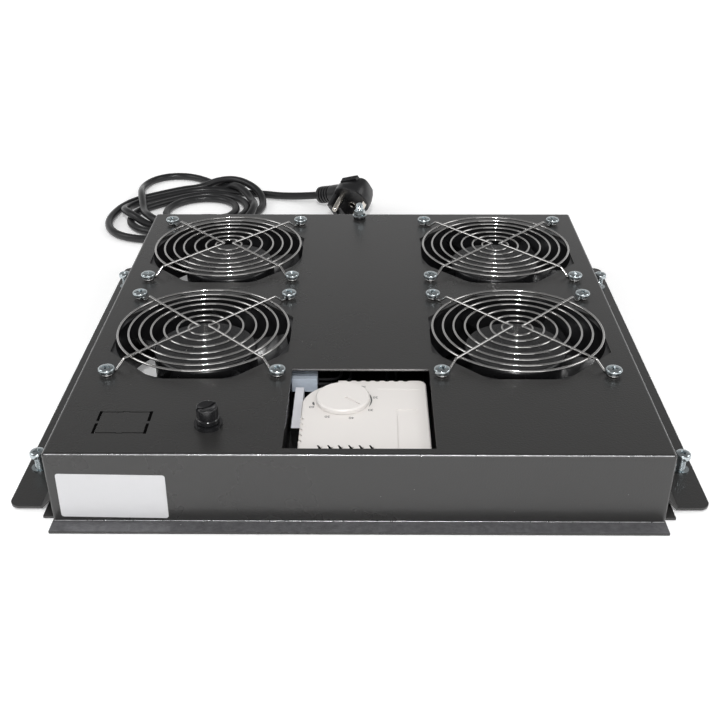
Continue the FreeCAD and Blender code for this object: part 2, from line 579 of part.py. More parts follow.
def build_motor_inside():
    """Stators, their bearings and the spade terminals, drawn with the fan's top face at z = 0."""
    seat = number("motor_base_thick - fan_thick")
    core, coil = number("stator_core / 2"), number("coil_size / 2")
    tube_in, tube_out = number("bearing / 2"), number("bearing / 2 + stator_tube_wall")
    low, thick = seat + number("coil_clearance"), number("stator_core_thick")
    wind = number("coil_thick")
    levels = (low, low + wind, low + wind + thick, low + 2 * wind + thick)
    profile = [(tube_in, seat), (tube_out, seat), (tube_out, levels[0]), (coil, levels[0]),
               (coil, levels[1]), (core, levels[1]), (core, levels[2]), (coil, levels[2]),
               (coil, levels[3]), (tube_in, levels[3])]
    points = [Vector(r, 0, z) for r, z in profile]
    face = Part.Face(Part.makePolygon(points + points[:1]))
    at_fans("fan_stators", [face.revolve(Vector(), Vector(0, 0, 1), 360)])
    length, bore = number("bearing_length"), number("shaft / 2 + shaft_fit")
    at_fans("fan_bearings", [
        Part.makeCylinder(tube_in, length, Vector(0, 0, z)).cut(
            Part.makeCylinder(bore, length, Vector(0, 0, z)))
        for z in (seat + number("shaft_end_gap"), levels[3] - length)])
    at_fans("fan_terminals", [
        Part.makeBox(number("spade_length"), number("spade_thick"), number("spade_width"),
                     Vector(number("fan_size / 2"), number(f"-terminal_y {side} spade_spread / 2"),
                            number("-terminal_drop")))
        for side in SIDES])
    sleeve_wall = number("sleeve_wall")
    at_fans("terminal_sleeves", [
        Part.makeBox(
            number("sleeve_length"), number("spade_thick") + 2 * sleeve_wall,
            number("spade_width") + 2 * sleeve_wall,
            Vector(number("fan_size / 2 + sleeve_gap"),
                   number(f"-terminal_y {side} spade_spread / 2") - sleeve_wall,
                   number("-terminal_drop") - sleeve_wall)).cut(
            Part.makeBox(number("spade_length"), number("spade_thick"), number("spade_width"),
                         Vector(number("fan_size / 2"),
                                number(f"-terminal_y {side} spade_spread / 2"),
                                number("-terminal_drop"))))
        for side in SIDES])


def bar(start, end, wide):
    """A straight length of square wire between two points."""
    along = end - start
    piece = Part.makeBox(wide, wide, along.Length, Vector(-wide / 2, -wide / 2, 0))
    piece.Placement = Placement(start, Rotation(Vector(-along.y, along.x, 0), Vector(), along,
                                                "ZXY"))
    return piece


def ring(radius, wide, sides, centre):
    """A flat ring of square wire, drawn with straight sides to keep it light."""
    loops = []
    for reach in (radius + wide / 2, radius - wide / 2):
        points = [centre + Vector(reach * math.cos(a), reach * math.sin(a), -wide / 2)
                  for a in (math.tau * i / sides for i in range(sides + 1))]
        loops.append(Part.Face(Part.makePolygon(points)).extrude(Vector(0, 0, wide)))
    return loops[0].cut(loops[1])


def finger_guard():
    """Seven rings under two V-shaped wires that step down to an eye at each mounting screw.
    Drawn about the fan's middle, on the plate's top face at z = 0."""
    wire, rise = number("guard_wire"), number("guard_rise")
    outer, inner = number("guard_ring_outer"), number("guard_ring_inner")
    count = int(number("guard_rings"))
    high = rise + wire - number("guard_weld")
    pieces = []
    for i in range(count):
        radius = inner + (outer - inner) * i / (count - 1)
        pieces.append(ring(radius, wire, 12 + 4 * i, Vector(0, 0, rise)))
    corner, eye = number("fan_pitch / 2"), number("guard_eye")
    for sx in (-1, 1):
        apex = Vector(sx * number("guard_apex"), 0, high)
        for sy in (-1, 1):
            mount = Vector(sx * corner, sy * corner, wire / 2)
            inward = Vector(apex.x - mount.x, apex.y - mount.y, 0).normalize()
            shoulder = apex - inward * outer
            foot = mount + inward * (number("fan_screw_head / 2") + wire)
            end = mount + inward * (eye - wire / 2) / 2
            pieces += [bar(apex, shoulder, wire), bar(shoulder, foot, wire), bar(foot, end, wire)]
            eye_ring = ring((eye + number("guard_eye_hole")) / 4,
                            (eye - number("guard_eye_hole")) / 2, 10, mount)
            pieces.append(eye_ring)
    return pieces[0].fuse(pieces[1:])


def build_guards():
    guard = finger_guard()
    for name, (x, y, _) in FANS.items():
        place(solid(f"finger_guard_{name}", guard.copy()), x, y, "tray_height")


def build_fan_fasteners():
    """The 16 screws that hold guard, plate and fan together, each with its nut under the flange."""
    seat = number("tray_height + guard_wire")
    screws, nuts = [], []
    nut_z = number(f"{PLATE} - fan_flange - fan_nut_thick")
    for x, y, _ in FANS.values():
        for sx in SIDES:
            for sy in SIDES:
                at = Vector(number(f"{x} {sx} fan_pitch / 2"), number(f"{y} {sy} fan_pitch / 2"), 0)
                screws.append(pan_screw(*map(number, (
                    "fan_screw_head", "fan_screw_head_thick", "fan_screw", "fan_screw_length")),
                    at + Vector(0, 0, seat)))
                nuts.append(hexagon(*map(number, ("fan_nut_flats", "fan_nut_thick", "fan_screw")),
                                    at + Vector(0, 0, nut_z)))
    group("fan_screws", screws)
    group("fan_nuts", nuts)


# ---- Earth screw --------------------------------------------------------------------------


def build_earth():
    """Screw, star washer, ring lug with its crimp and nut, at the rear of the plate."""
    hole = "fan_screw + 2 * loose_hole"
    top = "tray_height + earth_washer_thick"
    under = f"{PLATE} - earth_lug_thick"
    seat = Vector(*map(number, ("earth_x", "earth_y", top)))
    solid("earth_screw", pan_screw(*map(number, (
        "fan_screw_head", "fan_screw_head_thick", "fan_screw", "earth_length")), seat))
    node(tube("earth_washer", "earth_washer", hole, "earth_washer_thick",
              "earth_x", "earth_y", "tray_height"), "earth_washer")
    eye = cylinder("lug_eye", "earth_lug", "earth_lug_thick", "earth_x", "earth_y", under)
    tongue = block("lug_tongue", "earth_lug_tongue", "earth_lug_length", "earth_lug_thick",
                   "earth_x", "earth_y - earth_lug_length / 2", under)
    crimp = cylinder("lug_crimp", "earth_crimp", "earth_crimp_length", "earth_x",
                     "earth_y - earth_lug_length", f"{PLATE} - earth_crimp / 2")
    crimp.Placement.Rotation = Rotation(Vector(1, 0, 0), 90)
    bore = cylinder("lug_bore", hole, "earth_lug_thick", "earth_x", "earth_y", under)
    node(less("earth_lug", joined("lug_body", eye, tongue, crimp), bore), "earth_lug")
    solid("earth_nut", hexagon(*map(number, ("fan_nut_flats", "fan_nut_thick", "fan_screw")),
                               Vector(*map(number, ("earth_x", "earth_y",
                                                    f"{under} - fan_nut_thick")))))


# ---- Thermostat ---------------------------------------------------------------------------

STAT_TOP = "(tray_height - stat_drop)"
STAT_BASE = f"({STAT_TOP} - cover_thick)"
STAT_FRONT = "(stat_back - stat_length)"


def build_thermostat_cover():
    cover = new_body("thermostat_cover", z=STAT_BASE)
    outline = new_sketch(cover, "cover_outline")
    bezel_x = "dial_x - bezel_inset"
    add_outline(outline, [
        ("stat_left", STAT_FRONT), ("stat_right", STAT_FRONT), ("stat_right", "stat_back"),
        (bezel_x, "stat_back"), (bezel_x, "stat_back - bezel_step"),
        ("stat_left", "stat_back - bezel_side")], arcs={4: "bezel_radius"})
    feature(cover, "Pad", "cover_block", outline, Length="cover_thick")
    right, top = number("stat_right"), number("cover_thick")
    round_edges(cover, "cover_corners", "cover_corner",
                lambda edge: upright(edge) and abs(edge.BoundBox.XMin - right) < 1e-6)
    round_edges(cover, "cover_edges", "cover_edge",
                lambda edge: edge.BoundBox.ZMin > top - 1e-6)
    inside = new_sketch(cover, "cover_inside")
    left, front = "stat_left + cover_wall", f"{STAT_FRONT} + cover_wall"
    add_outline(inside, [
        (left, front), ("stat_right - cover_wall", front),
        ("stat_right - cover_wall", "stat_back - cover_wall"),
        ("dial_x", "stat_back - cover_wall"), ("dial_x", "stat_back - bezel_step - cover_wall"),
        (left, "stat_back - bezel_side")], arcs={4: "bezel_radius - cover_wall"})
    cut(cover, "cover_hollow", inside, Length="cover_thick - cover_wall", Reversed=True)
    spindle = new_sketch(cover, "spindle_hole", offset="cover_thick")
    add_circle(spindle, "spindle + 2 * shaft_fit", "dial_x", "dial_y")
    cut(cover, "spindle_bore", spindle, Length="cover_thick")
    vents = new_sketch(cover, "vent_scallops", offset="cover_thick")
    for edge, count, x, y in (("back", "vent_count", "vent_x", "stat_back"),
                              ("side", "side_vent_count", "stat_left", "side_vent_y")):
        for i in range(int(number(count))):
            along = f"({i} - ({count} - 1) / 2) * vent_pitch"
            add_circle(vents, "vent_width", *((f"{x} + {along}", y) if edge == "back"
                                              else (x, f"{y} + {along}")))
    cut(cover, "vents", vents, Length="vent_depth")
    marks = new_sketch(cover, "slot_outlines", offset="cover_thick")
    for i in range(int(number("slot_count"))):
        x = f"slot_x + ({i} - (slot_count - 1) / 2) * vent_pitch"
        low, high = "slot_y - slot_length / 2", "slot_y + slot_length / 2"
        add_outline(marks, [(f"{x} - slot_lean / 2 - slot_width / 2", low),
                            (f"{x} - slot_lean / 2 + slot_width / 2", low),
                            (f"{x} + slot_lean / 2 + slot_width / 2", high),
                            (f"{x} + slot_lean / 2 - slot_width / 2", high)])
    cut(cover, "slots", marks, Length="vent_depth")
    panel = new_sketch(cover, "panel_outline", offset="cover_thick")
    add_rectangle(panel, "panel_width", "panel_length", "panel_x", "panel_y")
    cut(cover, "panel", panel, Length="panel_depth")
    exits = new_sketch(cover, "wire_exits", role="XZ_Plane", offset="-stat_back")
    for x in SWITCH_WIRES:
        add_circle(exits, "wire_hole", f"switch_x + {x}", "switch_thick / 2")
    cut(cover, "wire_holes", exits, Length="2 * cover_wall", Reversed=True)


SWITCH_WIRES = (-3, 3)


def build_thermostat_base():
    base = new_body("thermostat_base", z=f"{STAT_BASE} - base_thick")
    plate = new_sketch(base, "base_outline")
    add_rectangle(plate, "stat_right - stat_left", "stat_length",
                  "(stat_left + stat_right) / 2", "stat_back - stat_length / 2")
    feature(base, "Pad", "base_block", plate, Length="base_thick")
    right = number("stat_right")
    round_edges(base, "base_corners", "cover_corner",
                lambda edge: upright(edge) and abs(edge.BoundBox.XMin - right) < 1e-6)
    ear_y = "stat_back - ear_length / 2"
    foot = new_sketch(base, "ear_foot")
    add_rectangle(foot, "ear_reach + cover_wall", "ear_length",
                  "stat_left + (cover_wall - ear_reach) / 2", ear_y)
    feature(base, "Pad", "ear_base", foot, Length="base_thick")
    ear = new_sketch(base, "ear_outline")
    add_rectangle(ear, "ear_reach - ear_gap", "ear_length",
                  "stat_left - (ear_reach + ear_gap) / 2", ear_y)
    feature(base, "Pad", "ear", ear, Length="base_thick + ear_rise")
    holes = new_sketch(base, "base_screw_holes")
    for side in SIDES:
        add_circle(holes, "fan_screw + 2 * loose_hole",
                   f"window_x {side} stat_screw_pitch / 2", "stat_screw_y")
    cut(base, "base_drilling", holes, Length="base_thick", Reversed=True)


def build_thermostat_inside():
    """What the cover hides: the pressure bellows under the spindle and the snap switch."""
    bellows = new_body("thermostat_bellows", "dial_x", "dial_y", STAT_BASE)
    profile = new_sketch(bellows, "bellows_profile", "XZ_Plane")
    rim, groove = "bellows / 2", "bellows / 2 - bellows_groove"
    steps = [("0", "0"), (rim, "0")]
    for level in ("1 / 3", "2 / 3"):
        steps += [(rim, f"bellows_thick * ({level} - 1 / 12)"), (groove, f"bellows_thick * {level}"),
                  (rim, f"bellows_thick * ({level} + 1 / 12)")]
    add_outline(profile, steps + [(rim, "bellows_thick"), ("0", "bellows_thick")])
    feature(bellows, "Revolution", "bellows_disc", profile)
    node(block("thermostat_switch", "switch_width", "switch_depth", "switch_thick", "switch_x",
               "dial_y", STAT_BASE), "thermostat_switch")


def build_thermostat_dial():
    dial = new_body("thermostat_dial", "dial_x", "dial_y", f"{STAT_TOP} + dial_gap")
    face = new_sketch(dial, "dial_face")
    add_circle(face, "dial")
    feature(dial, "Pad", "dial_disc", face, Length="dial_thick")
    top = number("dial_thick")
    round_edges(dial, "dial_rim", "dial_edge", lambda edge: edge.BoundBox.ZMin > top - 1e-6,
                "Chamfer")
    bore = new_sketch(dial, "dial_bore")
    add_circle(bore, "spindle + 2 * shaft_fit")
    cut(dial, "dial_socket", bore, Length="dial_bore_depth", Reversed=True)
    pointer = new_sketch(dial, "pointer_outline", offset="dial_thick")
    ends = (("pointer_start", "-"), ("pointer_end", "-"), ("pointer_end", "+"),
            ("pointer_start", "+"))
    add_outline(pointer, [
        (f"{reach} * cos(pointer_turn) - ({side}pointer_width / 2) * sin(pointer_turn)",
         f"{reach} * sin(pointer_turn) + ({side}pointer_width / 2) * cos(pointer_turn)")
        for reach, side in ends])
    cut(dial, "pointer", pointer, Length="pointer_depth")
    low = f"{STAT_BASE} + bellows_thick + shaft_end_gap"
    node(cylinder("thermostat_spindle", "spindle",
                  f"{STAT_TOP} + dial_gap + dial_bore_depth - ({low})", "dial_x", "dial_y", low),
         "thermostat_spindle")


def build_thermostat_bracket():
    """A hat-shaped bracket whose lips meet the plate's underside beside the window."""
    bracket = new_body("thermostat_bracket", "window_x")
    floor = f"({STAT_BASE} - base_thick - sheet_thick)"
    half, lip = "stat_bracket_width / 2", "stat_bracket_width / 2 + stat_bracket_lip"
    right = [(half, floor), (half, f"{PLATE} - sheet_thick"), (lip, f"{PLATE} - sheet_thick"),
             (lip, PLATE), (f"{half} - sheet_thick", PLATE),
             (f"{half} - sheet_thick", f"{floor} + sheet_thick")]
    left = [(f"-({x})", z) for x, z in reversed(right)]
    profile = new_sketch(bracket, "hat_profile", "XZ_Plane",
                         "tray_depth / 2 - sheet_thick - stat_bracket_depth")
    add_outline(profile, right + left)
    feature(bracket, "Pad", "hat", profile, Length="stat_bracket_depth")
    holes = new_sketch(bracket, "bracket_screw_holes", offset=floor)
    for side in SIDES:
        add_circle(holes, "fan_screw + 2 * loose_hole", f"{side}stat_screw_pitch / 2",
                   "stat_screw_y")
    cut(bracket, "bracket_drilling", holes, Length="2 * sheet_thick", Reversed=True)
    screws = []
    for side in SIDES:
        screw = pan_screw(*map(number, ("fan_screw_head", "fan_screw_head_thick", "fan_screw",
                                        "stat_screw_length")), Vector())
        screw.Placement = Placement(
            Vector(number(f"window_x {side} stat_screw_pitch / 2"), number("stat_screw_y"),
                   number(floor)), Rotation(Vector(1, 0, 0), 180))
        screws.append(screw)
    group("thermostat_screws", screws)


# ---- Fuse holder --------------------------------------------------------------------------
# Heights are from the plate's top face.


def turned(label, name, profile, z):
    """A body turned about its own Z axis at the fuse holder."""
    body = new_body(label, "fuse_x", "fuse_y", z)
    sketch = new_sketch(body, f"{name}_profile", "XZ_Plane")
    add_outline(sketch, profile)
    feature(body, "Revolution", f"{name}_turning", sketch)
    return body


def build_fuse_holder():
    barrel, bore = "fuse_hole / 2 - fuse_fit", "fuse_carrier / 2 + shaft_fit"
    bottom = "-(fuse_barrel_length - fuse_end_thick)"
    turned("fuse_body", "body", [
        ("0", "-fuse_barrel_length"), (barrel, "-fuse_barrel_length"), (barrel, "0"),
        ("fuse_collar / 2", "0"), ("fuse_collar / 2", "fuse_collar_thick"),
        (bore, "fuse_collar_thick"), (bore, bottom), ("0", bottom)], "tray_height")
    solid("fuse_nut", hexagon(*map(number, ("fuse_nut_flats", "fuse_nut_thick", "fuse_hole")),
                              Vector(*map(number, ("fuse_x", "fuse_y",
                                                   f"{PLATE} - fuse_nut_thick")))))
    node(tube("fuse_carrier", "fuse_carrier", "fuse_link + 2 * shaft_fit", "fuse_carrier_length",
              "fuse_x", "fuse_y", "tray_height + fuse_collar_thick - fuse_carrier_length"),
         "fuse_carrier")
    link = [("0", "0"), ("fuse_link / 2", "0"), ("fuse_link / 2", "fuse_link_cap"),
            ("fuse_link / 2 - shaft_fit", "fuse_link_cap"),
            ("fuse_link / 2 - shaft_fit", "fuse_link_length - fuse_link_cap"),
            ("fuse_link / 2", "fuse_link_length - fuse_link_cap"),
            ("fuse_link / 2", "fuse_link_length"), ("0", "fuse_link_length")]
    turned("fuse_link", "link", link, f"tray_height {bottom} + shaft_end_gap")
    cap = turned("fuse_cap", "cap", [
        ("0", "-fuse_spigot_length"), ("fuse_link / 2", "-fuse_spigot_length"),
        ("fuse_link / 2", "0"), ("fuse_cap / 2", "0"),
        ("fuse_cap / 2", "fuse_cap_rise - fuse_cap_edge"),
        ("fuse_cap / 2 - fuse_cap_edge", "fuse_cap_rise"), ("0", "fuse_cap_rise")],
        "tray_height + fuse_collar_thick + fuse_cap_gap")
    slot = new_sketch(cap, "cap_slot", offset="fuse_cap_rise")
    add_rectangle(slot, "fuse_cap", "fuse_slot")
    cut(cap, "screwdriver_slot", slot, Length="fuse_slot_depth")
    end = "tray_height - fuse_barrel_length"
    lower = block("lower_lug", "fuse_lug_reach + fuse_hole / 2", "fuse_lug_width",
                  "fuse_lug_thick", "fuse_x + (fuse_lug_reach - fuse_hole / 2) / 2", "fuse_y",
                  f"{end} - fuse_lug_thick")
    upper = block("upper_lug", "fuse_lug_reach - fuse_hole / 2", "fuse_lug_width",
                  "fuse_lug_thick", "fuse_x + (fuse_lug_reach + fuse_hole / 2) / 2", "fuse_y",
                  f"{end} + fuse_lug_rise")
    lugs = doc.addObject("Part::Compound", "fuse_contacts")
    lugs.Links = [lower, upper]
    node(lugs, "fuse_contacts")


# ---- Wiring under the plate ---------------------------------------------------------------

BLOCK_LOW = f"({PLATE} - terminal_block_height)"
BLOCK_SIDES = {"-": "terminal_block_y - terminal_block_depth / 2",
               "+": "terminal_block_y + terminal_block_depth / 2"}


def build_terminal_block():
    strip = new_body("terminal_block", "0", "terminal_block_y", BLOCK_LOW)
    outline = new_sketch(strip, "strip_outline")
    add_rectangle(outline, "terminal_block_width", "terminal_block_depth")
    feature(strip, "Pad", "strip", outline, Length="terminal_block_height")
    ways = new_sketch(strip, "screw_ways")
    for i in range(6):
        for side in SIDES:
            add_circle(ways, "block_way", f"({i} - 2.5) * block_way_pitch",
                       f"{side}terminal_block_depth / 4")
    cut(strip, "screw_wells", ways, Length="block_way_depth", Reversed=True)


def thin_wire(route, name):
    """A wire drawn with six flats to keep it light."""
    points = [Vector(*map(number, point)) for point in route]
    radius = number("wire / 2")
    hexagon_area = radius**2 * 6 * math.sin(math.pi / 3) / 2
    turn = Rotation(Vector(0, 0, 1), points[1] - points[0])
    corners = [points[0] + turn.multVec(Vector(radius * math.cos(a), radius * math.sin(a), 0))
               for a in (math.pi / 3 * i for i in range(7))]
    return swept(points, Part.makePolygon(corners), hexagon_area, name)


def wires(label, routes):
    """Several wires as one sub-part."""
    group(label, [thin_wire(route, label) for route in routes])


def build_wiring():
    level = f"({PLATE} - terminal_drop + spade_width / 2)"
    high = f"({PLATE} - 2 * wire)"
    end = "fan_columns / 2 - fan_size / 2 - sleeve_gap - sleeve_length"
    # from each fan's two sleeves to the strip: turning point, bend in the long run, entry
    ways = {"front_left": ((-6, -4, "-"), (-12, -10, "+")),
            "rear_left": ((-13, -13, "-"), (-8, -8, "+")),
            "front_right": ((8, 8, "-"), (13, 13, "+")),
            "rear_right": ((12, 10, "-"), (6, 4, "+"))}
    routes = []
    for name, pair in ways.items():
        x_sign, y_sign = ("-", "-") if name.endswith("left") else ("", "+")
        face = BLOCK_SIDES["-" if name.startswith("front") else "+"]
        for turn_x, entry_x, side in pair:
            y = f"{FANS[name][1]} {y_sign} terminal_y {side} spade_spread / 2"
            route = [(f"{x_sign}({end})", y, level), (turn_x, y, level)]
            if turn_x != entry_x:
                route += [(turn_x, f"({y}) * 2 / 3 + ({face}) / 3", level),
                          (entry_x, f"({y}) / 3 + ({face}) * 2 / 3", level)]
            routes.append(route + [(entry_x, face, level)])
    wires("fan_leads", routes)
    routes = []
    start = f"({STAT_BASE} + switch_thick / 2)"
    for x, drift in zip(SWITCH_WIRES, (0, 2)):
        x = f"switch_x + {x}"
        routes.append([(x, "dial_y + switch_depth / 2", start), (x, "-66", start),
                       (f"{x} + 1", "-40", high), (f"{x} + {drift}", "-12", high),
                       (f"{x} + {drift}", BLOCK_SIDES["-"], high)])
    lug, fuse_end = "fuse_x + fuse_lug_reach + wire / 4", "tray_height - fuse_barrel_length"
    routes.append([(lug, "fuse_y", f"{fuse_end} - fuse_lug_thick / 2"), (-57, -140, 14),
                   (-47, -120, 12), (-30, -104, 12), (-20, -95, 12), (-20, -68, 14),
                   (-20, -40, 30), (-20, -12, high), (-20, BLOCK_SIDES["-"], high)])
    routes.append([(lug, "fuse_y", f"{fuse_end} + fuse_lug_rise + fuse_lug_thick / 2"),
                   (-56, -150, 20), (-49, -132, 8), (-36, -112, 7), (-26, -97, 7),
                   (-26, -68, 12), (-26, -40, 28), (-26, -12, high),
                   (-26, BLOCK_SIDES["-"], high)])
    wires("control_wires", routes)
    inner = "tray_depth / 2 - relief_neck_length"
    wires("mains_wires", [
        [(f"exit_x {side} 2.5", inner, "exit_z + 1.5"), (f"exit_x {side} 2.5 - 1", 141, 18),
         (f"{x} - 2", 112, 23), (x, 84, 36), (x, 62, high), (x, BLOCK_SIDES["+"], high)]
        for side, x in (("-", 20), ("+", 25))])
    wires("earth_wire", [[
        ("exit_x", inner, "exit_z - 3"), (14, 146, 14), (8, 128, 20), (2, 114, 30),
        (-2, 124, 42), ("earth_x", "earth_y - earth_lug_length - earth_crimp_length",
                        f"{PLATE} - earth_crimp / 2")]])


# ---- Mains cord and plug ------------------------------------------------------------------


def build_strain_relief():
    relief = new_body("strain_relief", "exit_x", "tray_depth / 2", "exit_z")
    profile = new_sketch(relief, "relief_profile")
    neck = "relief_hole / 2 - relief_fit"
    add_outline(profile, [
        ("0", "-relief_neck_length"), (neck, "-relief_neck_length"), (neck, "0"),
        ("relief_collar / 2", "0"), ("relief_collar / 2", "relief_collar_thick"),
        ("relief_root / 2", "relief_collar_thick"), ("relief_tail / 2", "relief_length"),
        ("0", "relief_length")])
    feature(relief, "Revolution", "relief_turning", profile)


def build_cord():
    lead = [(15, "tray_depth / 2 + relief_length", 17), (15, 226, 17), (-0.5, 247.6, 13),
            (-26, 256.2, 7.6), (-54.5, 247, 4), (-87, 238, 3.9), (-119, 228, 3.9)]
    tail = [(-99, 326.2, 5.6), (-82, 315.6, 9.3), (-63, 308, 12.8), (-44.5, 308, 12.8)]
    for label, route in (("cord_lead", lead), ("cord_tail", tail)):
        points = [Vector(*map(number, point)) for point in route]
        solid(label, cable(points, number("cord"), label))
    coil = new_body("cord_coil", "coil_x", "coil_y")
    ring_outline = new_sketch(coil, "coil_outline")
    add_circle(ring_outline, "coil_outer")
    add_circle(ring_outline, "coil_inner")
    feature(coil, "Pad", "coil_ring", ring_outline, Length="coil_height")
    round_edges(coil, "coil_rounding", "coil_edge", lambda edge: not upright(edge), "Chamfer")


def stand_plug(item):
    """The plug is drawn with its face on XY and its pins along +Z, then laid on its side."""
    place(item, "plug_x", "plug_y", "plug_z")
    item.Placement.Rotation = Rotation(Vector(1, 0, 0), number("90 + plug_tilt"))
    return bind(item, Placement__Rotation__Angle="90 + plug_tilt")


def build_plug():
    body = stand_plug(new_body("plug_body"))
    disc = new_sketch(body, "plug_outline")
    add_circle(disc, "plug_face")
    feature(body, "Pad", "plug_disc", disc, Length="plug_disc", Reversed=True)
    grip = new_sketch(body, "grip_outline", offset="-plug_disc")
    half, corner = "plug_grip / 2", "(plug_grip / 2 - plug_grip_corner)"
    add_outline(grip, [(f"-{half}", f"-{corner}"), (f"-{corner}", f"-{half}"),
                       (corner, f"-{half}"), (half, f"-{corner}"), (half, corner),
                       (corner, half), (f"-{corner}", half), (f"-{half}", corner)])
    feature(body, "Pad", "plug_grip", grip, Length="plug_grip_length", Reversed=True)
    round_edges(body, "plug_edges", "plug_edge", lambda edge: not upright(edge), "Chamfer")
    pull = new_sketch(body, "pull_plate_outline", offset="-plug_disc")
    add_rectangle(pull, "pull_plate_width", "pull_plate_rise + plug_edge",
                  y="(plug_grip + pull_plate_rise - plug_edge) / 2")
    feature(body, "Pad", "pull_plate", pull, Length="plug_grip_length", Reversed=True)
    boot = new_sketch(body, "boot_profile", offset="boot_z")
    bind(boot, AttachmentOffset__Base__y="boot_y")
    pitch = "((boot_reach - boot_start) / boot_rib_count)"
    slope = "((boot_root - boot_end) / 2 / (boot_reach - boot_start))"
    outline = [("-plug_face / 4", "0"), ("-plug_face / 4", "boot_root / 2"),
               ("-boot_start", "boot_root / 2")]
    for i in range(int(number("boot_rib_count"))):
        x = f"(boot_start + {i} * {pitch})"
        outline += [(f"-({x} + {step} * {pitch})",
                     f"boot_root / 2 - {slope} * ({i} + {step}) * {pitch} - {depth}")
                    for step, depth in ((0.3, "0"), (0.4, "boot_groove"),
                                        (0.8, "boot_groove"), (0.9, "0"))]
    outline += [("-boot_reach", "boot_end / 2"), ("-boot_reach", "0")]
    add_outline(boot, outline[::-1])
    feature(body, "Revolution", "boot", boot, ReferenceAxis=(boot, ["H_Axis"]))
    slots = new_sketch(body, "clip_slots")
    for side in SIDES:
        add_rectangle(slots, "2 * clip_slot", "clip_width + 2 * clip_gap", f"{side}plug_face / 2")
    cut(body, "clip_grooves", slots, Length="plug_disc")
    earth = new_sketch(body, "earth_contact_hole")
    add_circle(earth, "earth_hole", "earth_hole_x")
    cut(body, "earth_contact_bore", earth, Length="earth_hole_depth")
    radius, tip, length = map(number, ("plug_pin / 2", "plug_pin_tip", "plug_pin_length"))
    face = Part.Face(Part.makePolygon([Vector(r, 0, z) for r, z in (
        (0, 0), (radius, 0), (radius, length - tip), (radius - tip, length), (0, length), (0, 0))]))
    pin_shape = face.revolve(Vector(), Vector(0, 0, 1), 360)
    pins = [pin_shape.translated(Vector(0, number(f"{side}plug_pin_pitch / 2"), 0))
            for side in SIDES]
    stand_plug(group("plug_pins", pins))
    strips = [block(f"clip_{name}", "clip_thick", "clip_width", "clip_length",
                    f"{side}(plug_face / 2 - clip_slot + clip_thick / 2)", "0", "-clip_length")
              for name, side in (("left", "-"), ("right", "+"))]
    liner = tube("earth_contact", "earth_hole - 2 * clip_gap",
                 "earth_hole - 2 * clip_gap - 2 * earth_ring_wall",
                 "earth_hole_depth", "earth_hole_x", "0", "-earth_hole_depth")
    clips = doc.addObject("Part::Compound", "plug_earth_clips")
    clips.Links = strips + [liner]
    stand_plug(node(clips, "plug_earth_clips"))


# ---- Build and write ----------------------------------------------------------------------

build_tray()
for hand, side in (("left", "-"), ("right", "+")):
    build_bracket(side, hand)
build_roof_screws()
for fan in FANS:
    build_fan_frame(fan)
    build_fan_rotor(fan)
    build_fan_shaft(fan)
build_motor_inside()
build_guards()
build_fan_fasteners()
build_earth()
build_thermostat_cover()
build_thermostat_base()
build_thermostat_inside()
build_thermostat_dial()
build_thermostat_bracket()
build_fuse_holder()
build_terminal_block()
build_wiring()
build_strain_relief()
build_cord()
build_plug()

doc.recompute()
for item in doc.Objects:
    if {"Invalid", "Error"} & set(item.State):
        raise RuntimeError(f"{item.Label} failed to build: {item.State}")
os.makedirs("parts", exist_ok=True)
for item in NODES:
    if item.Shape.isNull() or not item.Shape.isValid():
        raise RuntimeError(f"{item.Label} has no valid shape")
    item.Shape.exportStep(f"parts/{item.Label}.step")
print(f"{len(NODES)} sub-parts written")
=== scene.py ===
# %% [markdown]
# # Rack fan tray
# A roof-mounted fan tray for a 19-inch cabinet: black powder-coated sheet steel, four mains fans
# under chrome finger guards, a thermostat in a window and a coiled mains cord behind it.
# The solids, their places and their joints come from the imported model. The cells below dress
# them: each one takes a part or a finish, says what it is on the real tray, and builds it.

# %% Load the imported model
import json
import math
import random

import bmesh
import bpy
from mathutils import Matrix, Vector


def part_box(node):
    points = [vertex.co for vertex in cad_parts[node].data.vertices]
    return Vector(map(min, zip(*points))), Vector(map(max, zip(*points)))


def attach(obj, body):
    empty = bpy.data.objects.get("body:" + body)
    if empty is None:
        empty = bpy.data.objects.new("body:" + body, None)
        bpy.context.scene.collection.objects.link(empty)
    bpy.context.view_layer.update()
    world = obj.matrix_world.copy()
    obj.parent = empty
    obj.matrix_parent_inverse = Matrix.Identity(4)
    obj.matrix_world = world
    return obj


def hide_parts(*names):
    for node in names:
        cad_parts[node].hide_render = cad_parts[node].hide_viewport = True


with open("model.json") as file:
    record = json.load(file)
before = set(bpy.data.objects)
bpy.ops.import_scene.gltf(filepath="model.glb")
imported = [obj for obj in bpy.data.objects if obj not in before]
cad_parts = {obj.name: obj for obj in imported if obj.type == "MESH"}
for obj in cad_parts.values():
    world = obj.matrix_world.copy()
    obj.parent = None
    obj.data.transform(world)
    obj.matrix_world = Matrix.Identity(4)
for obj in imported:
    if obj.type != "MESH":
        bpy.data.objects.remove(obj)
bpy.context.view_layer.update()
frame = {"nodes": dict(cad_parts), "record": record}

MM = 0.001
NODES = frame["nodes"]
FAN_NAMES = ("front_left", "front_right", "rear_left", "rear_right")
TRAY_LOW, TRAY_HIGH = (Vector(corner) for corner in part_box("tray"))
PLATE_TOP = TRAY_HIGH.z / MM


def middle_of(box):
    """The middle of a box, in mm, seen from above, and its lowest and highest point."""
    low, high = (Vector(corner) / MM for corner in box)
    return (low.x + high.x) / 2, (low.y + high.y) / 2, low.z, high.z


print("tray", [round(side / MM, 1) for side in TRAY_HIGH - TRAY_LOW], "mm")

# %% [markdown]
# ## Camera
# A product like this is shown from a little above its front edge with a normal lens, far enough
# away that the sides of the tray run together only slightly. The lens, the place and the tilt
# below give that view. A hair of turn and roll keeps it from looking like a drawing.

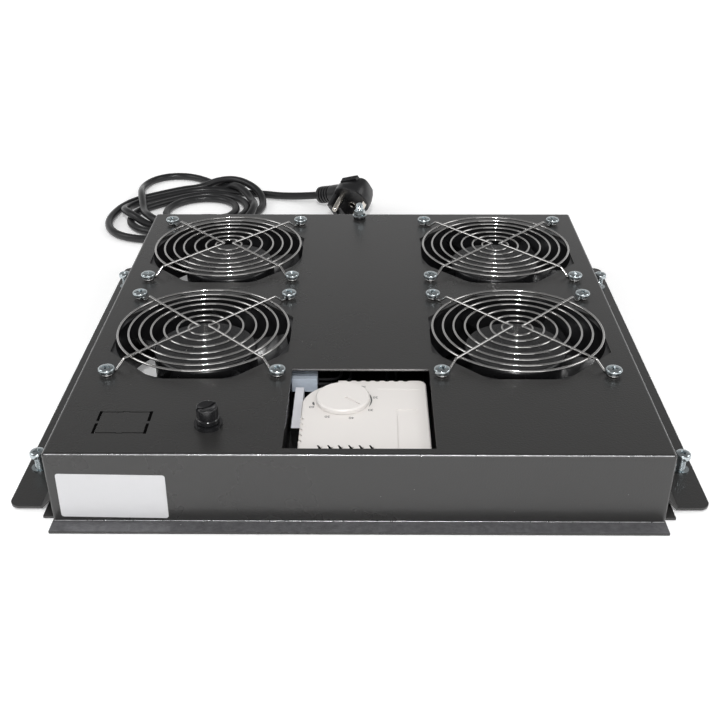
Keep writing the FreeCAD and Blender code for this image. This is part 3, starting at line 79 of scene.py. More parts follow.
# %% Camera
camera_data = bpy.data.cameras.new("product_camera")
camera_data.sensor_width = 36
camera_data.lens = 50.244
camera_data.clip_start = 0.05
camera = bpy.data.objects.new("product_camera", camera_data)
bpy.context.collection.objects.link(camera)
camera.location = (0.00553, -0.61826, 0.3665)
TILT_DOWN, TURN_LEFT, ROLL = math.radians(30.237), math.radians(0.575), math.radians(-0.178)
camera.rotation_mode = "QUATERNION"
camera.rotation_quaternion = (
    Matrix.Rotation(TURN_LEFT, 3, "Z")
    @ Matrix.Rotation(math.pi / 2 - TILT_DOWN, 3, "X")
    @ Matrix.Rotation(ROLL, 3, "Z")).to_quaternion()
bpy.context.scene.camera = camera
print("lens", camera_data.lens, "mm, tilted down", round(math.degrees(TILT_DOWN), 1), "degrees")

# %% [markdown]
# ## Helpers for shader trees
# A shader is a small tree of nodes, and the same few steps come back in every one: a sum, a mix
# of two colours or two shaders, a value spread over another range. Each gets one helper, so that
# the trees below stay short.

# %% Node helpers


def new_material(name):
    """A new material with its nodes, its links and its one shader."""
    material = bpy.data.materials.new(name)
    material.use_nodes = True
    nodes = material.node_tree.nodes
    return material, nodes, material.node_tree.links, nodes["Principled BSDF"]


def feed(links, sockets, given):
    """Sets each socket to its value, or links it where another socket is given."""
    for socket, value in zip(sockets, given):
        if isinstance(value, bpy.types.NodeSocket):
            links.new(value, socket)
        else:
            socket.default_value = value


def combined(nodes, links, operation, *given):
    """One Math node of numbers or sockets. COMPARE is 1 where the first is near the second."""
    join = nodes.new("ShaderNodeMath")
    join.operation = operation
    feed(links, join.inputs, given)
    return join.outputs[0]


def either_shader(nodes, links, factor, first, second):
    """A Mix Shader that shows the second shader where the factor is 1."""
    mix = nodes.new("ShaderNodeMixShader")
    feed(links, mix.inputs, (factor, first, second))
    return mix.outputs[0]


def blend(nodes, links, factor, first, second):
    """A colour between the first, at factor 0, and the second, at factor 1."""
    mix = nodes.new("ShaderNodeMix")
    mix.data_type = "RGBA"
    feed(links, (mix.inputs[name] for name in ("Factor", "A", "B")), (factor, first, second))
    return mix.outputs["Result"]


def spread(nodes, links, value, ends):
    """A Map Range node with its ends set, fed by a value."""
    ramp = nodes.new("ShaderNodeMapRange")
    for socket, end in ends.items():
        ramp.inputs[socket].default_value = end
    links.new(value, ramp.inputs["Value"])
    return ramp.outputs["Result"]


print("helpers for", [tool.__name__ for tool in (combined, either_shader, blend, spread)])

# %% [markdown]
# ## Table
# The tray lies on a white table in a white room. A wide sheet serves as table. To the camera it
# glows a little, and more so far away: so it is plain white, still shows the tray's soft shadow,
# and throws no extra light on the tray. Under the tray a painted shade turns its colour dark and
# stops the glow, apart from a strip on the left that is seen through the fans. From below the
# sheet is clear to the camera, so that the underside can be looked at.

# %% Table
scene = bpy.context.scene
scene.view_settings.view_transform = "Standard"
TABLE_WHITE, TABLE_PAINTED_SHADE = (0.9, 0.9, 0.9, 1), (0.02, 0.02, 0.02, 1)
UNDER_TRAY = (0, 0.171)  # middle and reach, in m
LIT_STRIP_X, LIT_STRIP_Y = (-0.16, 0.02), (0.07, 0.115)
GLOW_BY_DISTANCE = {"From Min": 0.3, "From Max": 1.3, "To Min": 0.24, "To Max": 0.7}


def table_material():
    """White paper that glows a little where the camera sees it, with painted shade under the tray.
    """
    material, nodes, links, shader = new_material("white_table")
    shader.inputs["Roughness"].default_value = 0.6
    where, split = nodes.new("ShaderNodeNewGeometry"), nodes.new("ShaderNodeSeparateXYZ")
    links.new(where.outputs["Position"], split.inputs[0])
    x, y = split.outputs["X"], split.outputs["Y"]
    under, lit_strip = (
        combined(nodes, links, "MULTIPLY", combined(nodes, links, "COMPARE", x, *in_x),
                 combined(nodes, links, "COMPARE", y, *in_y))
        for in_x, in_y in ((UNDER_TRAY, UNDER_TRAY), (LIT_STRIP_X, LIT_STRIP_Y)))
    # painted shade under the tray: dark colour and no glow there, except in the strip seen through
    # the fans
    table_shade_mask = combined(nodes, links, "SUBTRACT", under, lit_strip)
    table_shade_mask.node.use_clamp = True
    links.new(blend(nodes, links, table_shade_mask, TABLE_WHITE, TABLE_PAINTED_SHADE), shader.inputs["Base Color"])
    rays = nodes.new("ShaderNodeLightPath")
    either = combined(nodes, links, "MAXIMUM", rays.outputs["Is Camera Ray"],
                      rays.outputs["Is Glossy Ray"])
    seen = combined(nodes, links, "SUBTRACT", either, table_shade_mask)
    seen.node.use_clamp = True
    glow, glowing = nodes.new("ShaderNodeEmission"), nodes.new("ShaderNodeAddShader")
    away = nodes.new("ShaderNodeVectorMath")
    away.operation = "LENGTH"
    links.new(where.outputs["Position"], away.inputs[0])
    links.new(spread(nodes, links, away.outputs["Value"], GLOW_BY_DISTANCE),
              glow.inputs["Strength"])
    feed(links, glowing.inputs, (shader.outputs[0], glow.outputs[0]))
    top = either_shader(nodes, links, seen, shader.outputs[0], glowing.outputs[0])
    seen_from_below = combined(nodes, links, "MULTIPLY", where.outputs["Backfacing"],
                               rays.outputs["Is Camera Ray"])
    clear = nodes.new("ShaderNodeBsdfTransparent")
    sheet = either_shader(nodes, links, seen_from_below, top, clear.outputs[0])
    links.new(sheet, nodes["Material Output"].inputs["Surface"])
    return material


TABLE_SIZE, TABLE_GAP = 12.0, 0.0003
SQUARE = ((-1, -1), (1, -1), (1, 1), (-1, 1))
table_mesh = bpy.data.meshes.new("table")
table_mesh.from_pydata([(x * TABLE_SIZE / 2, y * TABLE_SIZE / 2, 0) for x, y in SQUARE],
                       [], [(0, 1, 2, 3)])
table = bpy.data.objects.new("table", table_mesh)
table.location.z = -TABLE_GAP
bpy.context.collection.objects.link(table)
table_mesh.materials.append(table_material())
print("table", TABLE_SIZE, "m wide")

# %% [markdown]
# ## Room
# The room lights the tray softly from everywhere. What dark paint and chrome mirror is another
# matter: they see a room that is white near the horizon and dimmer overhead, so the plate is
# darker near its front edge than at the back. The camera itself sees plain white.

# %% World
ROOM_LIGHT, ROOM_WHITE = 0.5, (1, 1, 1, 1)
MIRRORED_BY_HEIGHT = {"From Min": 0.2, "From Max": 0.62, "To Min": 0.9, "To Max": 0.26}
world = bpy.data.worlds.new("white_room")
world.use_nodes = True
scene.world = world
world_nodes, world_links = world.node_tree.nodes, world.node_tree.links
room = world_nodes["Background"]
room.inputs["Color"].default_value = ROOM_WHITE
room.inputs["Strength"].default_value = ROOM_LIGHT
direction = world_nodes.new("ShaderNodeTexCoord")
height = world_nodes.new("ShaderNodeSeparateXYZ")
world_links.new(direction.outputs["Generated"], height.inputs[0])
mirrored, white = (world_nodes.new("ShaderNodeBackground") for _ in range(2))
world_links.new(spread(world_nodes, world_links, height.outputs["Z"], MIRRORED_BY_HEIGHT),
                mirrored.inputs["Strength"])
white.inputs["Color"].default_value = ROOM_WHITE
room_rays = world_nodes.new("ShaderNodeLightPath")
in_mirror = combined(world_nodes, world_links, "MAXIMUM", room_rays.outputs["Is Glossy Ray"],
                     room_rays.outputs["Is Transmission Ray"])
around = either_shader(world_nodes, world_links, in_mirror, room.outputs[0],
                       mirrored.outputs[0])
around = either_shader(world_nodes, world_links, room_rays.outputs["Is Camera Ray"], around,
                       white.outputs[0])
world_links.new(around, world_nodes["World Output"].inputs["Surface"])
print("room light", ROOM_LIGHT)

# %% [markdown]
# ## Lamps
# A small soft box high in front puts a bright spot on every wire of the guards. Two at the sides
# draw the edges, and a wide low one fills the front wall.

# %% Soft boxes


def soft_box(name, place, aim, size, power):
    """A rectangular area lamp that looks at a point."""
    lamp_data = bpy.data.lights.new(name, "AREA")
    lamp_data.shape, lamp_data.size, lamp_data.size_y = "RECTANGLE", *size
    lamp_data.energy = power
    lamp = bpy.data.objects.new(name, lamp_data)
    lamp.location = place
    lamp.rotation_euler = (Vector(aim) - Vector(place)).to_track_quat("-Z", "Y").to_euler()
    bpy.context.collection.objects.link(lamp)


soft_box("high_front", (0.0, -1.0, 1.25), (0, 0.1, 0), (0.14, 0.14), 11)
soft_box("side_left", (-1.1, 0.1, 0.9), (0, 0, 0), (0.5, 0.5), 2.5)
soft_box("side_right", (1.1, 0.1, 0.9), (0, 0, 0), (0.5, 0.5), 2.5)
soft_box("low_front", (0.1, -1.5, 0.5), (0, 0, 0.03), (1.6, 0.5), 6)
print("soft boxes", len(bpy.data.lights))

# %% [markdown]
# ## Finishes
# Each finish is one shader with what makes it that finish given on it, and a shared group adds
# what several of them have: a fine grain in the surface, soft patches that sway the gloss and
# the colour a little, and a few specks of dust. All are in object space, so they have the same
# size on every part.

# %% Shared node group: grain, patches and dust
DUST_SCALE, DUST_COLOR = 160, (0.55, 0.54, 0.52, 1)
DUST_EDGE = {"From Min": 0.055, "From Max": 0.03}
DUST_LEFT_OUT = 0.8


def surface_group():
    """Outputs a grain height, an uneven 0 to 1 value and fine specks of dust."""
    group = bpy.data.node_groups.new("fine_surface", "ShaderNodeTree")
    face = group.interface
    face.new_socket("Grain Size", in_out="INPUT", socket_type="NodeSocketFloat")
    face.new_socket("Patch Size", in_out="INPUT", socket_type="NodeSocketFloat")
    for name in ("Grain", "Patches", "Dust"):
        face.new_socket(name, in_out="OUTPUT", socket_type="NodeSocketFloat")
    nodes, links = group.nodes, group.links
    given, out = nodes.new("NodeGroupInput"), nodes.new("NodeGroupOutput")
    where = nodes.new("ShaderNodeTexCoord")
    grain = nodes.new("ShaderNodeTexNoise")
    grain.inputs["Detail"].default_value = 3
    links.new(where.outputs["Object"], grain.inputs["Vector"])
    links.new(given.outputs["Grain Size"], grain.inputs["Scale"])
    links.new(grain.outputs["Fac"], out.inputs["Grain"])
    patches = nodes.new("ShaderNodeTexNoise")
    patches.inputs["Detail"].default_value = 4
    patches.inputs["Roughness"].default_value = 0.6
    links.new(where.outputs["Object"], patches.inputs["Vector"])
    links.new(given.outputs["Patch Size"], patches.inputs["Scale"])
    links.new(patches.outputs["Fac"], out.inputs["Patches"])
    specks = nodes.new("ShaderNodeTexVoronoi")
    specks.inputs["Scale"].default_value = DUST_SCALE
    links.new(where.outputs["Object"], specks.inputs["Vector"])
    round_speck = spread(nodes, links, specks.outputs["Distance"], DUST_EDGE)
    split = nodes.new("ShaderNodeSeparateColor")
    links.new(specks.outputs["Color"], split.inputs["Color"])
    kept = combined(nodes, links, "GREATER_THAN", split.outputs["Red"], DUST_LEFT_OUT)
    links.new(combined(nodes, links, "MULTIPLY", round_speck, kept), out.inputs["Dust"])
    return group


FINE_SURFACE = surface_group()
print("group nodes", len(FINE_SURFACE.nodes))

# %% [markdown]
# ## One function for every finish
# A finish is then a short line: a name, a colour, how rough and how metallic it is, and how
# strongly grain, patches and dust show. What is the same all over is set on the shader itself,
# and anything else is set by the name of its socket.

# %% Finish function


def finish(name, color, roughness, metallic=0.0, grain=(600, 0.0), patches=(20, 0.0),
           shade=0.0, dust=0.0, **shader_values):
    """A material from the shared group. grain is its scale and bump, patches its scale and how
    much it sways the gloss, shade how much it sways the colour, dust how light the specks are."""
    material, nodes, links, shader = new_material(name)
    surface = nodes.new("ShaderNodeGroup")
    surface.node_tree = FINE_SURFACE
    surface.inputs["Grain Size"].default_value = grain[0]
    surface.inputs["Patch Size"].default_value = patches[0]
    gloss, tint = roughness, (*color, 1)
    if patches[1]:
        gloss = spread(nodes, links, surface.outputs["Patches"],
                       {"To Min": roughness - patches[1], "To Max": roughness + patches[1]})
    if shade:
        tint = blend(nodes, links, surface.outputs["Patches"],
                     (*[c * (1 - shade) for c in color], 1),
                     (*[min(1, c * (1 + shade)) for c in color], 1))
    if dust:
        amount = combined(nodes, links, "MULTIPLY", surface.outputs["Dust"], dust)
        tint = blend(nodes, links, amount, tint, DUST_COLOR)
    feed(links, (shader.inputs["Roughness"], shader.inputs["Base Color"]), (gloss, tint))
    if grain[1]:
        bump = nodes.new("ShaderNodeBump")
        bump.inputs["Strength"].default_value = 1
        bump.inputs["Distance"].default_value = grain[1]
        links.new(surface.outputs["Grain"], bump.inputs["Height"])
        links.new(bump.outputs["Normal"], shader.inputs["Normal"])
    shader.inputs["Metallic"].default_value = metallic
    for socket, value in shader_values.items():
        shader.inputs[socket.replace("_", " ")].default_value = value
    return material


# %% [markdown]
# ## The finishes of this tray
# Powder coat is a plastic skin with a fine orange-peel, so it gets a small bump and a medium
# gloss. Zinc plate and chrome are bare metal. The moulded parts are plastics of different gloss.

# %% Materials
POWDER = finish("powder_coat", (0.024, 0.0235, 0.023), 0.28, grain=(900, 0.00010),
                patches=(14, 0.04), shade=0.10, dust=0.25, IOR=1.6)
ZINC = finish("zinc_plate", (0.52, 0.57, 0.59), 0.20, 1.0, grain=(1500, 0.00003),
              patches=(260, 0.10), shade=0.15)
CHROME = finish("chrome_wire", (0.58, 0.57, 0.56), 0.10, 1.0, patches=(120, 0.04), shade=0.05)
FAN_BLACK = finish("fan_black", (0.012, 0.012, 0.013), 0.3, grain=(700, 0.00004),
                   patches=(30, 0.06), shade=0.15)
ROTOR_BLACK = finish("rotor_black", (0.014, 0.014, 0.015), 0.26, patches=(40, 0.06), shade=0.15)
GROUND_STEEL = finish("ground_steel", (0.55, 0.56, 0.58), 0.3, 1.0, grain=(1200, 0.00002))
MOTOR = finish("motor_core", (0.30, 0.17, 0.09), 0.45, 0.6, grain=(500, 0.0001), shade=0.3)
BRONZE = finish("sintered_bronze", (0.45, 0.30, 0.15), 0.45, 1.0, grain=(900, 0.00004))
WHITE = finish("thermostat_white", (0.74, 0.71, 0.685), 0.38, grain=(800, 0.00002),
               patches=(30, 0.04), shade=0.015)
GREY_WHITE = finish("thermostat_grey", (0.62, 0.63, 0.61), 0.45, grain=(700, 0.00003),
                    patches=(30, 0.05), shade=0.03)
BLACK = finish("black_plastic", (0.012, 0.012, 0.013), 0.18, patches=(60, 0.05), shade=0.1)
CORD = finish("cord_pvc", (0.012, 0.012, 0.013), 0.34, grain=(500, 0.00005),
              patches=(60, 0.05), shade=0.1, dust=0.1)
WIRE_BLACK = finish("wire_black", (0.015, 0.015, 0.016), 0.35, patches=(60, 0.05))
WIRE_BROWN = finish("wire_brown", (0.14, 0.06, 0.03), 0.35, patches=(60, 0.05), shade=0.1)
WIRE_EARTH = finish("wire_earth", (0.16, 0.36, 0.06), 0.35, patches=(60, 0.05), shade=0.2)
NICKEL = finish("nickel_plate", (0.72, 0.68, 0.62), 0.2, 1.0, patches=(150, 0.06), shade=0.08)
CLEAR = finish("clear_plastic", (0.72, 0.80, 0.90), 0.22, patches=(60, 0.04), shade=0.03,
               Transmission_Weight=0.3, IOR=1.45)
GLASS = finish("fuse_glass", (0.9, 0.93, 0.93), 0.05, patches=(60, 0.01),
               Transmission_Weight=0.9, IOR=1.5)

FINISH_OF_SLOT = {
    "powder_coat": POWDER, "zinc_steel": ZINC, "fan_casting": FAN_BLACK,
    "rotor_black": ROTOR_BLACK, "shaft_steel": GROUND_STEEL, "chrome_wire": CHROME,
    "motor_core": MOTOR, "bearing_bronze": BRONZE, "sleeve_clear": CLEAR,
    "thermostat_white": WHITE, "thermostat_grey": GREY_WHITE, "black_plastic": BLACK,
    "fuse_glass": GLASS, "cord_pvc": CORD, "wire_black": WIRE_BLACK, "wire_brown": WIRE_BROWN,
    "wire_earth": WIRE_EARTH, "plug_nickel": NICKEL}
for part in frame["record"]["subparts"]:
    solid = NODES[part["node"]]
    solid.data.materials.clear()
    solid.data.materials.append(FINISH_OF_SLOT[part["material_slot"]])

# %% [markdown]
# ## Base and bracket of the thermostat
# The base beside the cover is white, and in front of a line across the tray it is coloured black.
# One solid gets two colours by a test on its own Y, which needs no cut in the mesh. The
# bracket under it is coated like the tray.

# %% Two-coloured base
BASE_LINE, BASE_DARK = -129.8, (0.006, 0.006, 0.006)


def darker_in_front(material, name, line, color):
    """A copy of a material that is another colour in front of a line across the tray, in mm."""
    both = material.copy()
    both.name = name
    nodes, links = both.node_tree.nodes, both.node_tree.links
    shader = nodes["Principled BSDF"]
    above = shader.inputs["Base Color"].links[0].from_socket
    place, split = nodes.new("ShaderNodeTexCoord"), nodes.new("ShaderNodeSeparateXYZ")
    links.new(place.outputs["Object"], split.inputs[0])
    front = combined(nodes, links, "LESS_THAN", split.outputs["Y"], line * MM)
    links.new(blend(nodes, links, front, above, (*color, 1)), shader.inputs["Base Color"])
    return both


BASE_WHITE = finish("base_white", (0.80, 0.80, 0.84), 0.4, grain=(700, 0.00003),
                    patches=(30, 0.05), shade=0.03)
# the base is coloured black in front of BASE_LINE by a test on its Y
NODES["thermostat_base"].data.materials[0] = darker_in_front(BASE_WHITE, "base_darker_in_front", BASE_LINE,
                                                    BASE_DARK)
NODES["thermostat_bracket"].data.materials[0] = POWDER
print("base is black in front of y =", BASE_LINE, "mm")

# %% [markdown]
# ## Mains cord
# A three-core PVC cord is a fixed length of something springy: it leaves its strain relief
# straight, falls to the table and then lies in loose turns that never quite repeat. One NURBS
# spline of order 3 gives such a line. It only passes near its control points, so it has no
# kinks, and a round bevel turns it into a cord. Where two strands cross, the upper one needs
# two points at its top, one on each side, or the spline would sink into the lower strand.

# %% Cord
CORD_THICK = 7.2 * MM
LEAD_POINTS = [
    (15, 199.3, 17), (15, 226, 17), (-0.5, 247.6, 13), (-26, 256.2, 7.6), (-54.5, 247, 4),
    (-87, 238, 3.9), (-119, 228, 3.9)]
TURN_POINTS = [
    (-137.4, 223, 3.7), (-155.3, 220, 3.8), (-173.2, 218.7, 3.7), (-191.2, 219.5, 3.7),
    (-208.9, 222.2, 3.7), (-224.6, 230.7, 3.7), (-234.8, 245.2, 3.7), (-239.4, 262.5, 3.7),
    (-238.6, 280.4, 3.7), (-234.6, 298, 3.7), (-226.5, 314.1, 3.7), (-212.3, 325.8, 3.7),
    (-197.2, 336.4, 3.7), (-182, 346.4, 3.7), (-164.8, 351.9, 3.7), (-148.1, 353, 10.9),
    (-130.2, 349.7, 13.8), (-114.9, 339.1, 12.6), (-102.6, 325.3, 9), (-97.5, 308.8, 3.7),
    (-99, 290.8, 3.7), (-107.7, 274.5, 3.7), (-118.3, 259, 3.7), (-133.2, 247.2, 3.8),
    (-151, 241.1, 3.7), (-169.6, 239, 4), (-186.3, 243.8, 10), (-199.9, 256.3, 12.1),
    (-207.9, 274.3, 8.6), (-212.5, 294, 11.1), (-217.6, 314, 12.3), (-221.2, 333.3, 8),
    (-224.2, 351.6, 3.7), (-220.6, 367.8, 3.7), (-211.3, 379.5, 3.7), (-198.2, 385.3, 3.7),
    (-183.1, 384.5, 3.7), (-167.8, 376.4, 3.8), (-154.2, 363.1, 3.7), (-139.8, 350.9, 4),
    (-127.6, 338.1, 12.1), (-116, 322.4, 10.5), (-107.4, 304.7, 6.6), (-103.7, 285.3, 11.7),
    (-105.7, 265.8, 9.1), (-116, 250.3, 3.7), (-132.2, 239.9, 3.8), (-150.5, 233.4, 3.7),
    (-169.7, 231.7, 3.7), (-188.9, 234, 3.7), (-205.8, 241.1, 3.8), (-216.8, 254.4, 3.7),
    (-220.4, 271.3, 3.7), (-215.6, 288.9, 3.7), (-202.6, 302.8, 3.7), (-187.7, 315.1, 3.7),
    (-172.4, 326.8, 3.7), (-154.3, 332.4, 3.7), (-135.7, 328.8, 3.7), (-120.3, 317.6, 3.7),
    (-112, 300.7, 3.7), (-112.5, 282.1, 3.7), (-121.9, 265.8, 3.7), (-136, 254, 3.8),
    (-153.8, 250.2, 3.7), (-171.8, 255.5, 3.7), (-184.7, 268.4, 3.7), (-189.6, 285.4, 3.7),
    (-185.8, 302.6, 3.7), (-174.1, 315.9, 3.7), (-158.1, 322, 3.7), (-142.1, 320.1, 3.7),
    (-129.6, 311.6, 3.7), (-122.7, 298.3, 3.8), (-122.8, 282.4, 3.7), (-131, 266.7, 4.8),
    (-146.5, 254.9, 10.8), (-165.5, 248.7, 10.7), (-182.8, 248.8, 3.2), (-200.1, 251.3, 4.2),
    (-213.6, 258.9, 10.5), (-224, 270.4, 11.1), (-228.8, 284.3, 7.5), (-226.5, 299.2, 4.2),
    (-217.2, 313.2, 3.7), (-202, 324, 3.8), (-186.5, 334.9, 3.7), (-169.5, 343.8, 3.7),
    (-151, 345.2, 3.7), (-133.9, 337.8, 3.7), (-114.9, 335.9, 3.6)]
TAIL_POINTS = [(-97, 332, 4), (-82, 326.5, 4.4), (-61, 321.3, 6.2), (-42, 317.6, 8.8)]


def wire_curve(name, thick, paths, material, body="root", detail=4):
    """One curve object of round wires. Each path is a list of points in mm and whether the
    wire closes on itself."""
    curve = bpy.data.curves.new(name, "CURVE")
    curve.dimensions = "3D"
    curve.bevel_depth = thick / 2
    curve.bevel_resolution = 4
    curve.use_fill_caps = True
    for points, closed in paths:
        spline = curve.splines.new("NURBS")
        spline.points.add(len(points) - 1)
        for control, point in zip(spline.points, points):
            control.co = (*(MM * value for value in point), 1)
        spline.order_u = 3
        spline.use_cyclic_u = closed
        spline.use_endpoint_u = not closed
        spline.resolution_u = detail
    curve.materials.append(material)
    piece = bpy.data.objects.new(name, curve)
    bpy.context.collection.objects.link(piece)
    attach(piece, body)
    return piece


cord = wire_curve("mains_cord", CORD_THICK, [(LEAD_POINTS + TURN_POINTS + TAIL_POINTS, False)],
                  CORD, detail=6)
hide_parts("cord_lead", "cord_coil", "cord_tail")
print("cord control points", len(LEAD_POINTS + TURN_POINTS + TAIL_POINTS))

# %% [markdown]
# ## Finger guards
# A guard is welded from drawn steel wire and then chrome plated: seven closed rings lie under
# two V-shaped legs. Each leg starts as an eye under one mounting screw, steps up beside the
# screw head, runs inwards over the rings, turns round near the middle and goes out to the next
# corner. Curves with a round bevel are the natural tool for wire. Two extra control points
# beside each corner make the bend there short and leave the runs straight.

# %% Guards
FAN_CENTRES = {name: sum(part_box(f"finger_guard_{name}"), Vector()) / 2 for name in FAN_NAMES}
GUARD_WIRE = 1.6 * MM
RING_RADII = (56, 49, 42, 34.5, 26, 17.5, 10)
RING_HEIGHT, LEG_HEIGHT, FOOT_HEIGHT = 4.6, 6.0, 0.8
SCREW_CORNER = 52.5
EYE_RADIUS, EYE_CLOSES, FOOT_FROM, FOOT_TO, SHOULDER = 3.0, 3.4, 4.5, 7.0, 13.5
TIP_X, TIP_Y, TURN_X, TURN_Y, BEND = 5.0, 1.6, 3.4, 0.9, 1.2


def round_angles(count):
    """Evenly spread angles of a full turn."""
    return [math.tau * i / count for i in range(count)]


def bent(corners, radius):
    """Control points for a wire with a short bend at each inner corner."""
    corners = [Vector(corner) for corner in corners]
    points = [corners[0]]
    for before, corner, after in zip(corners, corners[1:], corners[2:]):
        points += [corner + (before - corner).normalized() * radius, corner,
                   corner + (after - corner).normalized() * radius]
    return points + [corners[-1]]


def guard_paths(x, y, z):
    """The rings and legs of one guard, in mm, about the middle of its fan."""
    paths = []
    for radius in RING_RADII:
        circle = [(radius * math.cos(a), radius * math.sin(a), RING_HEIGHT)
                  for a in round_angles(28)]
        paths.append((circle, True))
    for side in (-1, 1):
        legs = []
        for end in (-1, 1):
            mount = Vector((side * SCREW_CORNER, end * SCREW_CORNER, FOOT_HEIGHT))
            tip = Vector((side * TIP_X, end * TIP_Y, LEG_HEIGHT))
            inward = (Vector((tip.x, tip.y, 0)) - Vector((mount.x, mount.y, 0))).normalized()
            across = Vector((-inward.y, inward.x, 0)) * end * side
            eye = [mount + inward * EYE_RADIUS * math.cos(a) + across * EYE_RADIUS * math.sin(a)
                   for a in round_angles(10)]
            foot = mount + inward * FOOT_TO
            shoulder = mount + inward * SHOULDER + Vector((0, 0, LEG_HEIGHT - FOOT_HEIGHT))
            legs.append([*eye[1:], mount + inward * EYE_CLOSES,
                         *bent([mount + inward * FOOT_FROM, foot, shoulder, tip], BEND)])
        turn = [Vector((side * TURN_X, end * TURN_Y, LEG_HEIGHT)) for end in (-1, 1)]
        paths.append(([*legs[0], *turn, *legs[1][::-1]], False))
    return [([Vector(point) + Vector((x, y, z)) for point in path], closed)
            for path, closed in paths]


for fan in FAN_NAMES:
    centre = FAN_CENTRES[fan] / MM
    guard = wire_curve(f"guard_{fan}", GUARD_WIRE,
                       guard_paths(centre.x, centre.y, PLATE_TOP), CHROME)
    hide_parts(f"finger_guard_{fan}")
print("guards", len(FAN_NAMES), "with", len(RING_RADII), "rings each")

# %% [markdown]
# ## Turned parts
# Screws, studs and caps are turned, so their shape is a profile of radii and heights that goes
# once round an axis. A recess is cut out afterwards, as the punch does it on a real screw.

# %% Lathe and cutter


def skin(mesh, rows):
    """Faces between closed rows of points. Where points coincide a face has three corners."""
    for low, high in zip(rows, rows[1:]):
        for i in range(len(low)):
            j = (i + 1) % len(low)
            ring = []
            for vertex in (low[i], low[j], high[j], high[i]):
                if vertex not in ring:
                    ring.append(vertex)
            mesh.faces.new(ring)


def lathe(profile, steps=32):
    """A mesh turned about Z from (radius, height) pairs in mm, bottom to top."""
    mesh = bmesh.new()
    rows = []
    for radius, height in profile:
        if radius == 0:
            rows.append([mesh.verts.new((0, 0, height * MM))] * steps)
        else:
            rows.append([mesh.verts.new((radius * MM * math.cos(a), radius * MM * math.sin(a),
                                         height * MM)) for a in round_angles(steps)])
    skin(mesh, rows)
    return mesh


def placed(name, meshes, material, body="root", smooth_angle=35):
    """One object from several bmeshes."""
    data = bpy.data.meshes.new(name)
    whole = bmesh.new()
    for mesh in meshes:
        part = bpy.data.meshes.new("part")
        mesh.to_mesh(part)
        whole.from_mesh(part)
        bpy.data.meshes.remove(part)
    bmesh.ops.recalc_face_normals(whole, faces=whole.faces)
    whole.to_mesh(data)
    data.materials.append(material)
    data.shade_smooth()
    data.set_sharp_from_angle(angle=math.radians(smooth_angle))
    piece = bpy.data.objects.new(name, data)
    bpy.context.collection.objects.link(piece)
    if body:
        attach(piece, body)
    return piece


def cut_away(base, tool):
    """The base object's mesh without the tool's volume, as a bmesh."""
    modifier = base.modifiers.new("recess", "BOOLEAN")
    modifier.operation, modifier.object, modifier.solver = "DIFFERENCE", tool, "EXACT"
    modifier.use_self = True
    cut = bmesh.new()
    cut.from_object(base, bpy.context.evaluated_depsgraph_get())
    for item in (base, tool):
        bpy.data.objects.remove(item)
    return cut


print("a turned tube has", len(lathe([(1, 0), (1, 1)]).faces), "faces")

# %% [markdown]
# ## Machine screws
# The screws are zinc plated and have a low pan head with a cross recess. Fine rings stand for
# the thread: a true helix would look the same here and take far more faces.

# %% Pan-head screw


ARM_WIDE, TAPER, THREAD_DEEP = 0.26, (0.45, 0.6), 0.25
HEAD_ROUNDING = ((0.5, 0.12), (0.5, 0.52), (0.485, 0.72), (0.44, 0.87), (0.36, 0.96))


def cross_recess(radius, depth, top):
    """A tapered cross that points down from a little above top."""
    mesh = bmesh.new()
    for along, across in ((radius, radius * ARM_WIDE), (radius * ARM_WIDE, radius)):
        high = [mesh.verts.new((x * along * MM, y * across * MM, (top + 0.4) * MM))
                for x, y in SQUARE]
        low = [mesh.verts.new((x * along * TAPER[0] * MM, y * across * TAPER[1] * MM,
                               (top - depth) * MM)) for x, y in SQUARE]
        mesh.faces.new(high)
        mesh.faces.new(low[::-1])
        for i in range(4):
            mesh.faces.new([high[i], low[i], low[(i + 1) % 4], high[(i + 1) % 4]])
    return mesh


def thread(radius, start, end, pitch=0.7):
    """Profile points of a threaded length, as fine rings."""
    count = int(abs(end - start) / pitch)
    return [(radius - (THREAD_DEEP if i % 2 else 0), start + (end - start) * i / (2 * count))
            for i in range(2 * count)]


def pan_screw(head, thick, shank, length, washer=0.0):
    """A pan-head screw with its seat at z = 0, its head up and its recess cut."""
    profile = [(0, -length), (shank / 2 - 0.6, -length), *thread(shank / 2, -length + 0.5, -1.2),
               (shank / 2, -0.8), (shank / 2, 0)]
    if washer:
        profile += [(head * 0.4, 0), (head * 0.4, washer * 0.85), (shank / 2 + 0.4, washer)]
    profile += [(head / 2 - 0.1, washer),
                *[(head * wide, washer + tall * (thick - washer)) for wide, tall in HEAD_ROUNDING],
                (head * 0.2, thick - 0.02), (0, thick)]
    body = placed("screw", [lathe(profile)], ZINC, None)
    tool = placed("recess", [cross_recess(head * 0.27, thick * 0.55, thick)], ZINC, None)
    return cut_away(body, tool)


print("a shank of 14 mm has", len(thread(2, -13.5, -1.2)) // 2, "thread rings")

# %% [markdown]
# ## Fan screws
# Each fan hangs on four screws that also hold the eyes of its guard, with a thin spring washer
# under every head. A screw stops where it is tight, so each recess has a turn of its own.

# %% Fan screws


def copies(mesh, places):
    """The same bmesh at several places, each with its own turn about Z."""
    result = []
    for x, y, z, turn in places:
        copy = mesh.copy()
        copy.transform(Matrix.Translation(Vector((x, y, z)) * MM)
                       @ Matrix.Rotation(turn, 4, "Z"))
        result.append(copy)
    return result


random.seed(4)
GUARD_SEAT = PLATE_TOP + GUARD_WIRE / MM
fan_spots = [(FAN_CENTRES[fan].x / MM + sx * SCREW_CORNER,
              FAN_CENTRES[fan].y / MM + sy * SCREW_CORNER, GUARD_SEAT,
              random.uniform(0, math.tau))
             for fan in FAN_NAMES for sx in (-1, 1) for sy in (-1, 1)]
fan_screw = pan_screw(10.4, 4.0, 4.0, 14.0, washer=0.9)
screws = placed("fan_screw_set", copies(fan_screw, fan_spots), ZINC)
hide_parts("fan_screws")
print("fan screws", len(fan_spots))
